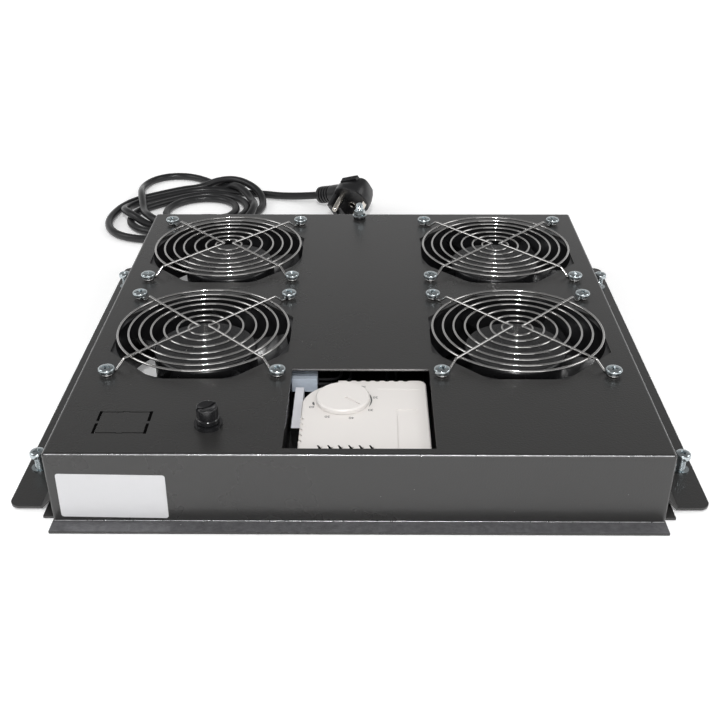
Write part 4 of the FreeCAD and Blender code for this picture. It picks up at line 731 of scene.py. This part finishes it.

# %% [markdown]
# ## Earth stud
# The stud for the earth wire stands up through the plate: a threaded rod, a black ring round its
# foot and a flanged nut on top of the ring. A lathe with six steps makes the hexagon.

# %% Earth stud, nut and black ring
BLACK_RING_THICK, THREAD_FROM, THREAD_TO, STUD_TALL, NUT_TURN = 2.5, 7, 12.2, 13.0, 0.2
stud_x, stud_y, stud_foot, _ = middle_of(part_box("earth_screw"))
stud = lathe([(0, stud_foot), (1.6, stud_foot), *thread(2.5, stud_foot + 0.6, PLATE_TOP),
              (2.5, PLATE_TOP), *thread(3.0, PLATE_TOP + THREAD_FROM, PLATE_TOP + THREAD_TO),
              (2.3, PLATE_TOP + STUD_TALL - 0.1), (0, PLATE_TOP + STUD_TALL)])
flange = lathe([(2.4, 0), (5.6, 0), (5.7, 0.5), (4.75, 1.3)], 48)
hexagon = lathe([(2.4, 1.0), (4.6, 1.0), (4.6, 4.6), (4.0, 5.2), (2.4, 5.2)], 6)
nut_place = [(stud_x, stud_y, PLATE_TOP + BLACK_RING_THICK, NUT_TURN)]
earth = placed("earth_stud_and_nut", [
    *copies(stud, [(stud_x, stud_y, 0, 0)]), *copies(flange, nut_place),
    *copies(hexagon, nut_place)], ZINC)
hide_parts("earth_screw")
# a plain black ring under the nut
placed("earth_black_ring", copies(
    lathe([(2.4, 0), (4.7, 0), (4.9, 0.3), (4.9, BLACK_RING_THICK - 0.3), (4.7, BLACK_RING_THICK),
           (2.4, BLACK_RING_THICK)]), [(stud_x, stud_y, PLATE_TOP, 0)]), BLACK)
print("earth stud", STUD_TALL, "mm above the plate")

# %% [markdown]
# ## Roof screws
# The tray is screwed to the roof of the cabinet through the wings at its sides, with two larger
# screws in each. Each one is a piece of its own, because it rides on its own joint.

# %% Roof screws
ROOF_HEAD = 3.5
roof_screw = pan_screw(9.5, ROOF_HEAD, 5.0, 12.0)
for row in ("front", "rear"):
    for hand in ("left", "right"):
        name = f"roof_screw_{row}_{hand}"
        screw_x, screw_y, _, screw_top = middle_of(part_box(name))
        piece = placed(f"{name}_recessed", copies(roof_screw, [
            (screw_x, screw_y, screw_top - ROOF_HEAD, random.uniform(0, math.tau))]),
            ZINC, f"screw_{row}_{hand}")
        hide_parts(name)
print("roof screws stand at", round(screw_top, 1), "mm")

# %% [markdown]
# ## Rating label
# A white paper-backed sticker with rounded corners is stuck to the front wall, low on the left.
# It is a very thin sheet that stands a tenth of a millimetre proud, so that its edge catches a
# line of light. It is left blank.

# %% Label
LABEL_LEFT, LABEL_RIGHT, LABEL_LOW, LABEL_HIGH, LABEL_CORNER = -167.6, -107.0, 4.0, 33.8, 1.6
LABEL_THICK, LABEL_TILT, FRONT_WALL = 0.12, 0.9, -173.3
PAPER = finish("label_paper", (0.60, 0.60, 0.612), 0.42, grain=(1400, 0.00001),
               patches=(40, 0.06), shade=0.02)


def rounded_rectangle(left, right, low, high, corner, steps=6):
    """Points in mm round a rectangle with rounded corners."""
    points = []
    for cx, cy, start in ((right - corner, high - corner, 0), (left + corner, high - corner, 90),
                          (left + corner, low + corner, 180),
                          (right - corner, low + corner, 270)):
        for i in range(steps + 1):
            a = math.radians(start + 90 * i / steps)
            points.append((cx + corner * math.cos(a), cy + corner * math.sin(a)))
    return points


def slab(outline, low, high):
    """A flat plate in mm between two heights, from an outline in its plane."""
    mesh = bmesh.new()
    bottom = [mesh.verts.new((x * MM, y * MM, low * MM)) for x, y in outline]
    top = [mesh.verts.new((x * MM, y * MM, high * MM)) for x, y in outline]
    mesh.faces.new(bottom[::-1])
    mesh.faces.new(top)
    for i in range(len(outline)):
        j = (i + 1) % len(outline)
        mesh.faces.new([bottom[i], bottom[j], top[j], top[i]])
    return mesh


sticker = slab(rounded_rectangle(LABEL_LEFT, LABEL_RIGHT, LABEL_LOW, LABEL_HIGH, LABEL_CORNER),
               0.0, LABEL_THICK)
LABEL_MIDDLE = Vector((LABEL_LEFT + LABEL_RIGHT, 0, LABEL_LOW + LABEL_HIGH)) * MM / 2
sticker.transform(Matrix.Translation(LABEL_MIDDLE)
                  @ Matrix.Rotation(math.radians(LABEL_TILT), 4, "Y")
                  @ Matrix.Translation(-LABEL_MIDDLE)
                  @ Matrix.Translation((0, FRONT_WALL * MM, 0))
                  @ Matrix.Rotation(math.pi / 2, 4, "X"))
placed("blank_label", [sticker], PAPER)
print("label", LABEL_RIGHT - LABEL_LEFT, "x", LABEL_HIGH - LABEL_LOW, "mm")

# %% [markdown]
# ## Thermostat scale
# The dial is read on a scale printed round it: seven numbers in tens of degrees, seen upside
# down from the front of the tray because the thermostat is mounted with its foot to the rear.
# Text objects are the simplest way to small flat print. The dark crescent beside the dial is
# painted shade, a flat dark sheet for the shadow in the slot that its stop runs in, and the short
# tick marks the end of the travel.

# %% Numbers, painted shade of the stop slot, and tick
PRINT_AND_SHADE = finish("grey_print_and_shade", (0.10, 0.10, 0.10), 0.5)
DIAL_X, DIAL_Y = -10.0, -108.0
COVER_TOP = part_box("thermostat_cover")[1][2] / MM
NUMBERS, NUMBER_RADIUS, FIRST_ANGLE, NUMBER_STEP = 7, 19.9, 93.0, -41.8
NUMBER_TALL, STROKE_SWELL, INK, NUMBER_LIFT, MARK_THICK = 3.1, 0.04, 0.01, 0.02, 0.03
for i in range(NUMBERS):
    angle = math.radians(FIRST_ANGLE + i * NUMBER_STEP)
    text = bpy.data.curves.new(f"scale_{10 * i}", "FONT")
    text.body, text.size, text.offset = str(10 * i), NUMBER_TALL * MM, STROKE_SWELL * MM
    text.align_x, text.align_y = "CENTER", "CENTER"
    text.extrude = INK * MM
    text.materials.append(PRINT_AND_SHADE)
    number = bpy.data.objects.new(f"scale_{10 * i}", text)
    number.location = Vector((DIAL_X + NUMBER_RADIUS * math.cos(angle),
                              DIAL_Y + NUMBER_RADIUS * math.sin(angle),
                              COVER_TOP + NUMBER_LIFT)) * MM
    number.rotation_euler.z = math.pi
    bpy.context.collection.objects.link(number)
    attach(number, "root")


def crescent(radius, thick, start, end, steps=20):
    """A flat sickle in mm about the dial, thickest in its middle."""
    inner, outer = [], []
    for i in range(steps + 1):
        a = math.radians(start + (end - start) * i / steps)
        wide = thick * math.sin(math.pi * i / steps) ** 0.7 + 0.02
        for row, reach in ((inner, radius - wide / 2), (outer, radius + wide / 2)):
            row.append((DIAL_X + reach * math.cos(a), DIAL_Y + reach * math.sin(a)))
    return inner + outer[::-1]


# the crescent is painted shade of the stop slot; the tick is print
STOP_SLOT_SHADE, END_TICK = crescent(17.2, 0.9, 33, -24), crescent(17.9, 1.3, -174, -161, 8)
placed("stop_slot_shade_and_tick", [slab(mark, COVER_TOP, COVER_TOP + MARK_THICK)
                      for mark in (STOP_SLOT_SHADE, END_TICK)], PRINT_AND_SHADE)
print("scale runs from 0 to", 10 * (NUMBERS - 1))

# %% [markdown]
# ## Small shapes of the thermostat's cover
# Near its front edge the cover has six slanting air slots, on its right a shallow raised field
# and near its rear edge a low ridge. The slots are dark wedges that lie a hair above the cover.
# Near its front edge the cover has six slanting air slots, on its right a shallow raised field
# and near its rear edge a low ridge. The slots are painted shade: dark wedges that lie a hair
# above the cover and stand for the shadow in the openings.

# %% Air slots, raised field and ridge
SLOT_COUNT, SLOT_PITCH, SLOT_LEFT, SLOT_LIFT = 6, 5.87, -23.6, 0.04
SLOT_SHAPE = [(0, -155.0), (0.9, -155.0), (4.2, -160.6), (2.0, -160.6)]
FIELD, FIELD_THICK = (22.6, 35.2, -165.0, -124.0, 0.8), 0.12
RIDGE, RIDGE_THICK = (11.0, 37.0, -95.2, -93.6, 0.4), 0.15
slots = [slab([(SLOT_LEFT + i * SLOT_PITCH + x, y) for x, y in SLOT_SHAPE],
              COVER_TOP, COVER_TOP + SLOT_LIFT) for i in range(SLOT_COUNT)]
# painted shade: a flat near-black finish for the shadow in slots, gaps and holes
PAINTED_SLOT_SHADE = finish("slot_shade", (0.003, 0.003, 0.003), 0.8, Specular_IOR_Level=0.0)
placed("painted_air_vent_shade", slots, PAINTED_SLOT_SHADE)
placed("raised_field", [
    slab(rounded_rectangle(*FIELD), COVER_TOP, COVER_TOP + FIELD_THICK),
    slab(rounded_rectangle(*RIDGE), COVER_TOP, COVER_TOP + RIDGE_THICK)], WHITE)
print("air slots", SLOT_COUNT)

# %% [markdown]
# ## Fuse holder cap
# The cap is a glossy black moulding that screws into its collar. It is turned on a lathe: a
# groove near the foot, a straight grip and a dished top with a slot for a screwdriver. The dish
# is there for the light: its far side faces the soft box, so it shows a bright sickle.

# %% Fuse cap
cap_x, cap_y, cap_foot, cap_top = middle_of(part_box("fuse_cap"))
cap_seat = 50.0
DRIVER_SLOT, DRIVER_DEEP, DRIVER_TURN = (14, 1.6), 1.7, 35


def block(x, y, wide, deep):
    """Corner points in mm of a plain rectangle about its middle."""
    return [(x + side * wide / 2, y + end * deep / 2)
            for side, end in SQUARE]


cap = placed("cap_turning", [lathe([
    (0, cap_foot), (2.6, cap_foot), (2.6, cap_seat), (6.2, cap_seat), (6.5, cap_seat + 0.4),
    (6.5, cap_seat + 2.6), (6.2, cap_seat + 3.0), (5.9, cap_seat + 3.2), (5.9, cap_seat + 3.8),
    (6.2, cap_seat + 4.1), (6.25, cap_top - 1.2), (6.1, cap_top - 0.5), (5.7, cap_top - 0.1),
    (5.2, cap_top), (4.7, cap_top - 0.15), (3.6, cap_top - 0.75), (2.0, cap_top - 1.3),
    (0, cap_top - 1.5)], 48)], BLACK, None)
slot_cutter = placed("slot_cutter", [slab(block(0, 0, *DRIVER_SLOT), -DRIVER_DEEP, 1.0)],
                     BLACK, None)
slot_cutter.data.transform(Matrix.Translation(Vector((0, 0, cap_top)) * MM)
                           @ Matrix.Rotation(math.radians(DRIVER_TURN), 4, "Z"))
fuse_cap = placed("fuse_cap_dished", copies(cut_away(cap, slot_cutter), [(cap_x, cap_y, 0, 0)]),
                  BLACK, "fuse_holder_cap")
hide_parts("fuse_cap")
print("fuse cap", round(cap_top - cap_seat, 1), "mm tall")

# %% [markdown]
# ## Raw cut edges
# The coat hardly covers the sharp edge of a punched window, so bare steel shows there, and a
# painted highlight makes it a bright, speckled line: a very thin strip of pale metal lies on the
# rear edge of the thermostat's window. The knock-out is punched but not pushed out, and its
# outline is a row of gaps with bridges of steel between them; the gaps are painted shade, flat
# dark sheets a hair above the plate.

# %% Cut edges
# bare steel at the cut edge, made pale as a painted highlight
EDGE_STEEL_AND_HIGHLIGHT = finish("bare_edge_and_painted_highlight", (0.42, 0.42, 0.42), 0.35, 0.9, grain=(900, 0.0002),
                  patches=(700, 0.15), shade=0.7)
EDGE_X, EDGE_Y, EDGE_WIDE, EDGE_DEEP, EDGE_LOW, EDGE_HIGH = 0.5, -82.13, 85.0, 0.1, 46.5, 47.5
placed("cut_edge_painted_highlight", [slab(block(EDGE_X, EDGE_Y, EDGE_WIDE, EDGE_DEEP), EDGE_LOW, EDGE_HIGH)],
       EDGE_STEEL_AND_HIGHLIGHT)
KNOCKOUT_X, KNOCKOUT_Y, KNOCKOUT_WIDE, KNOCKOUT_DEEP = -134.8, -142.0, 29.0, 22.0
SIDE_GAP, BRIDGE, GAP_LIFT = (1.7, 10.2), 2.4, 0.02
gaps = []
for side in (-1, 1):
    for end in (-1, 1):
        gaps.append(block(KNOCKOUT_X + side * (KNOCKOUT_WIDE / 2 + 0.1),
                          KNOCKOUT_Y + end * (BRIDGE + SIDE_GAP[1]) / 2, *SIDE_GAP))
    gaps.append(block(KNOCKOUT_X, KNOCKOUT_Y + side * KNOCKOUT_DEEP / 2, 4, 0.4))
# painted shade: dark sheets for the gaps round the knock-out
placed("knockout_gap_painted_shade", [slab(gap, PLATE_TOP, PLATE_TOP + GAP_LIFT) for gap in gaps], PAINTED_SLOT_SHADE)
print("gaps round the knock-out", len(gaps))

# %% [markdown]
# ## Light on the folds
# The crowns of the front and side folds and the root of the front flange catch the lamps as
# fine, slightly broken lines of light. These are painted highlights: each is a thin round line of
# pale metal that stands a hair out of the sheet. The flange itself has gathered dust, so a paler,
# speckled coat lies on it.

# %% Painted highlights on the folds, and dusty flange
FOLD_HIGHLIGHT = finish("fold_painted_highlight", (0.50, 0.50, 0.51), 0.3, 0.9, grain=(700, 0.0003),
                  patches=(260, 0.12), shade=0.55)
FOLD = 2.0
crown = FOLD * (1 - math.sqrt(0.5))
FRONT_SHINE, FINE_SHINE, FRONT_SUNK, FINE_SUNK, FLANGE_ROOT = 0.9, 0.5, 0.25, 0.15, 1.7


def along_wall(half_length):
    """Four places along a straight fold, from end to end."""
    return (-half_length, -60, 60, half_length)


# painted highlight: pale metal lines on the fold crowns and the flange root stand for the light
# they catch
wire_curve("front_fold_highlight", FRONT_SHINE * MM, [
    ([(x, FRONT_WALL + crown + FRONT_SUNK, PLATE_TOP - crown - FRONT_SUNK)
      for x in along_wall(171.5)], False)], FOLD_HIGHLIGHT)
wire_curve("flange_root_highlight", FINE_SHINE * MM, [
    ([(x, FRONT_WALL - FINE_SUNK, FLANGE_ROOT) for x in along_wall(172.5)], False)], FOLD_HIGHLIGHT)
wire_curve("side_fold_highlights", FINE_SHINE * MM, [
    ([(side * (-FRONT_WALL - crown - FINE_SUNK), y, PLATE_TOP - crown - FINE_SUNK)
      for y in along_wall(171.5)], False) for side in (-1, 1)], FOLD_HIGHLIGHT)
LIP_COAT = finish("lip_coat", (0.10, 0.10, 0.105), 0.36, grain=(500, 0.0003),
                  patches=(300, 0.15), shade=0.6, dust=0.8)
FLANGE_Y, FLANGE_WIDE, FLANGE_DEEP, FLANGE_TOP, COAT = -178.45, 346.4, 8.9, 1.5, 0.03
placed("lip_coat", [slab(block(0, FLANGE_Y, FLANGE_WIDE, FLANGE_DEEP), FLANGE_TOP,
                         FLANGE_TOP + COAT)], LIP_COAT)
print("dusty flange", FLANGE_WIDE, "x", FLANGE_DEEP, "mm")

# %% [markdown]
# ## Mains plug
# The plug is one soft moulding: a round pin face, a back that narrows in flat facets to a grip,
# and a boot with four grooves that lets the cord bend. It lies tipped on the table, on its rim
# and one pin. So it is made upright in its own frame, with the pins along its Z, and then
# turned as a whole.

# %% Plug frame and tools
PIN_AXIS = Vector((-0.41, -0.75, -0.51)).normalized()
CORD_WAY = Vector((-0.78, 0.55, -0.20))
PLUG_X = -(CORD_WAY - PIN_AXIS * CORD_WAY.dot(PIN_AXIS)).normalized()
PLUG_Y = PIN_AXIS.cross(PLUG_X)
PIN_FACE = Vector((-11.6, 282.6, 16.6))
PLUG_TURN = Matrix.Translation(PIN_FACE * MM) @ Matrix(
    (PLUG_X, PLUG_Y, PIN_AXIS)).transposed().to_4x4()
PIN_SPOTS = [(-6.7, 6.7), (6.7, -6.7)]


def loft(sections, steps=48):
    """A closed skin through rounded sections: height, half width, half depth, centre and how
    square each one is (2 is round)."""
    mesh = bmesh.new()
    rows = []
    for height, wide, deep, centre, square in sections:
        row = []
        for a in round_angles(steps):
            c, s = math.cos(a), math.sin(a)
            x = centre + wide * math.copysign(abs(c) ** (2 / square), c)
            y = deep * math.copysign(abs(s) ** (2 / square), s)
            row.append(mesh.verts.new((x * MM, y * MM, height * MM)))
        rows.append(row)
    skin(mesh, rows)
    mesh.faces.new(rows[0][::-1])
    mesh.faces.new(rows[-1])
    return mesh


def turned(mesh, *turns):
    """The bmesh itself after one or more matrices, the last one first."""
    for turn in reversed(turns):
        mesh.transform(turn)
    return mesh


def moved(x, y, z):
    """The matrix of a shift in mm."""
    return Matrix.Translation(Vector((x, y, z)) * MM)


def along(start, end):
    """The matrix that carries Z from one point in mm towards another."""
    way = Vector(end) - Vector(start)
    return (Matrix.Translation(Vector(start) * MM)
            @ way.to_track_quat("Z", "Y").to_matrix().to_4x4())


print("pins point", [round(value, 2) for value in PIN_AXIS])

# %% [markdown]
# ## Plug moulding
# The back is lofted through seven sections that turn from round at the face to almost square at
# the grip. Four small blocks grow out of it, as on the mould. The boot runs from the back
# towards the end of the cord, and its grooves leave it soft enough to bend.

# %% Moulding with its boot
back = loft([(-20.6, 10.0, 9.0, 1.0, 4.0), (-19.4, 12.0, 10.6, 0.8, 4.0),
             (-15.0, 14.4, 13.2, 0.4, 3.4), (-9.0, 16.8, 16.0, 0.0, 2.6),
             (-5.2, 17.8, 17.8, 0.0, 2.1), (-0.8, 17.8, 17.8, 0.0, 2.1),
             (0.0, 17.1, 17.1, 0.0, 2.1)])
shoulder = slab(rounded_rectangle(-16.8, -12.0, -7.0, 9.0, 1.0), -2.0, 13.5)
rib = slab(rounded_rectangle(-12.5, -5.6, -10.2, 2.0, 0.8), -2.0, 11.0)
chin = slab(rounded_rectangle(-7.0, 7.0, -12.4, -9.0, 0.8), -2.0, 9.0)
grip = slab(rounded_rectangle(-8.5, 8.0, 6.0, 16.4, 0.8), -15.6, -11.0)
GRIP_SLOPE = 0.24
for vertex in grip.verts:
    vertex.co.z -= GRIP_SLOPE * vertex.co.x
BOOT_ROOT = PLUG_TURN @ (Vector((-6, 0, -10.5)) * MM) / MM
BOOT_END = Vector(TAIL_POINTS[-1]) + Vector((-1.5, 0.4, -0.2))
GROOVES, GROOVE_PITCH, FIRST_GROOVE = 4, 3.4, 17.5
boot_long = (BOOT_END - BOOT_ROOT).length
grooved = [(0, 0), (8.9, 0), (8.6, boot_long - 20)]
for i in range(GROOVES):
    start = boot_long - FIRST_GROOVE + i * GROOVE_PITCH
    grooved += [(8.3, start), (6.4, start + 0.3), (6.4, start + 1.2), (8.3, start + 1.5)]
grooved += [(8.1, boot_long - 2.6), (5.4, boot_long), (0, boot_long)]
moulding = placed("plug_moulding", [
    *[turned(piece, PLUG_TURN) for piece in (back, shoulder, rib, chin, grip)],
    turned(lathe(grooved, 40), along(BOOT_ROOT, BOOT_END))], CORD, smooth_angle=24)
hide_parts("plug_body")
print("plug boot", round(boot_long, 1), "mm long")

# %% [markdown]
# ## Metal of the plug
# Two solid pins with rounded ends stand in the face, beside the hole for the socket's earth pin.
# The hole has a nickel liner, and an earth clip lies flat in the rim on either side. The depth of
# the hole is a black disc of painted shade: nothing inside it could be seen.

# %% Pins, earth contacts and recess
PIN_LONG, PIN_THICK, HOLE_SPOT = 19.0, 4.8, (-1.6, -6.0)
pins = placed("plug_round_pins", [
    turned(lathe([(0, -2), (PIN_THICK / 2, -2), (PIN_THICK / 2, PIN_LONG - 2.2),
                  (PIN_THICK * 0.42, PIN_LONG - 1.0), (PIN_THICK * 0.22, PIN_LONG - 0.2),
                  (0, PIN_LONG)], 28), PLUG_TURN, moved(x, y, 0))
    for x, y in PIN_SPOTS], NICKEL)
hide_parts("plug_pins")
liner = lathe([(2.5, -1), (4.4, -1), (4.4, 0.5), (3.9, 0.9), (2.9, 0.7), (2.5, 0.3), (2.5, -1)],
              32)
CLIPS = ((13.0, -17.0, 0), (9.0, 15.4, -2))
UPRIGHT = (Matrix.Rotation(math.pi / 2, 4, "Z"), Matrix.Rotation(math.pi / 2, 4, "X"))
earth_parts = placed("plug_earth_contacts", [
    turned(liner, PLUG_TURN, moved(*HOLE_SPOT, 0)),
    *[turned(slab(rounded_rectangle(-3.0, 3.0, 0.0, long, 0.8), -0.4, 0.4),
             PLUG_TURN, moved(x, y, -0.5), *UPRIGHT) for long, x, y in CLIPS]], NICKEL)
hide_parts("plug_earth_clips")
# painted shade: a black disc for the dark depth of the earth hole
dark_spots = placed("plug_recess_painted_shade", [
    turned(lathe([(0, 0), (2.4, 0), (2.4, 0.06), (0, 0.06)], 24), PLUG_TURN,
           moved(*HOLE_SPOT, 0.05))], PAINTED_SLOT_SHADE)
print("pins", PIN_LONG, "mm long, clips", len(CLIPS))
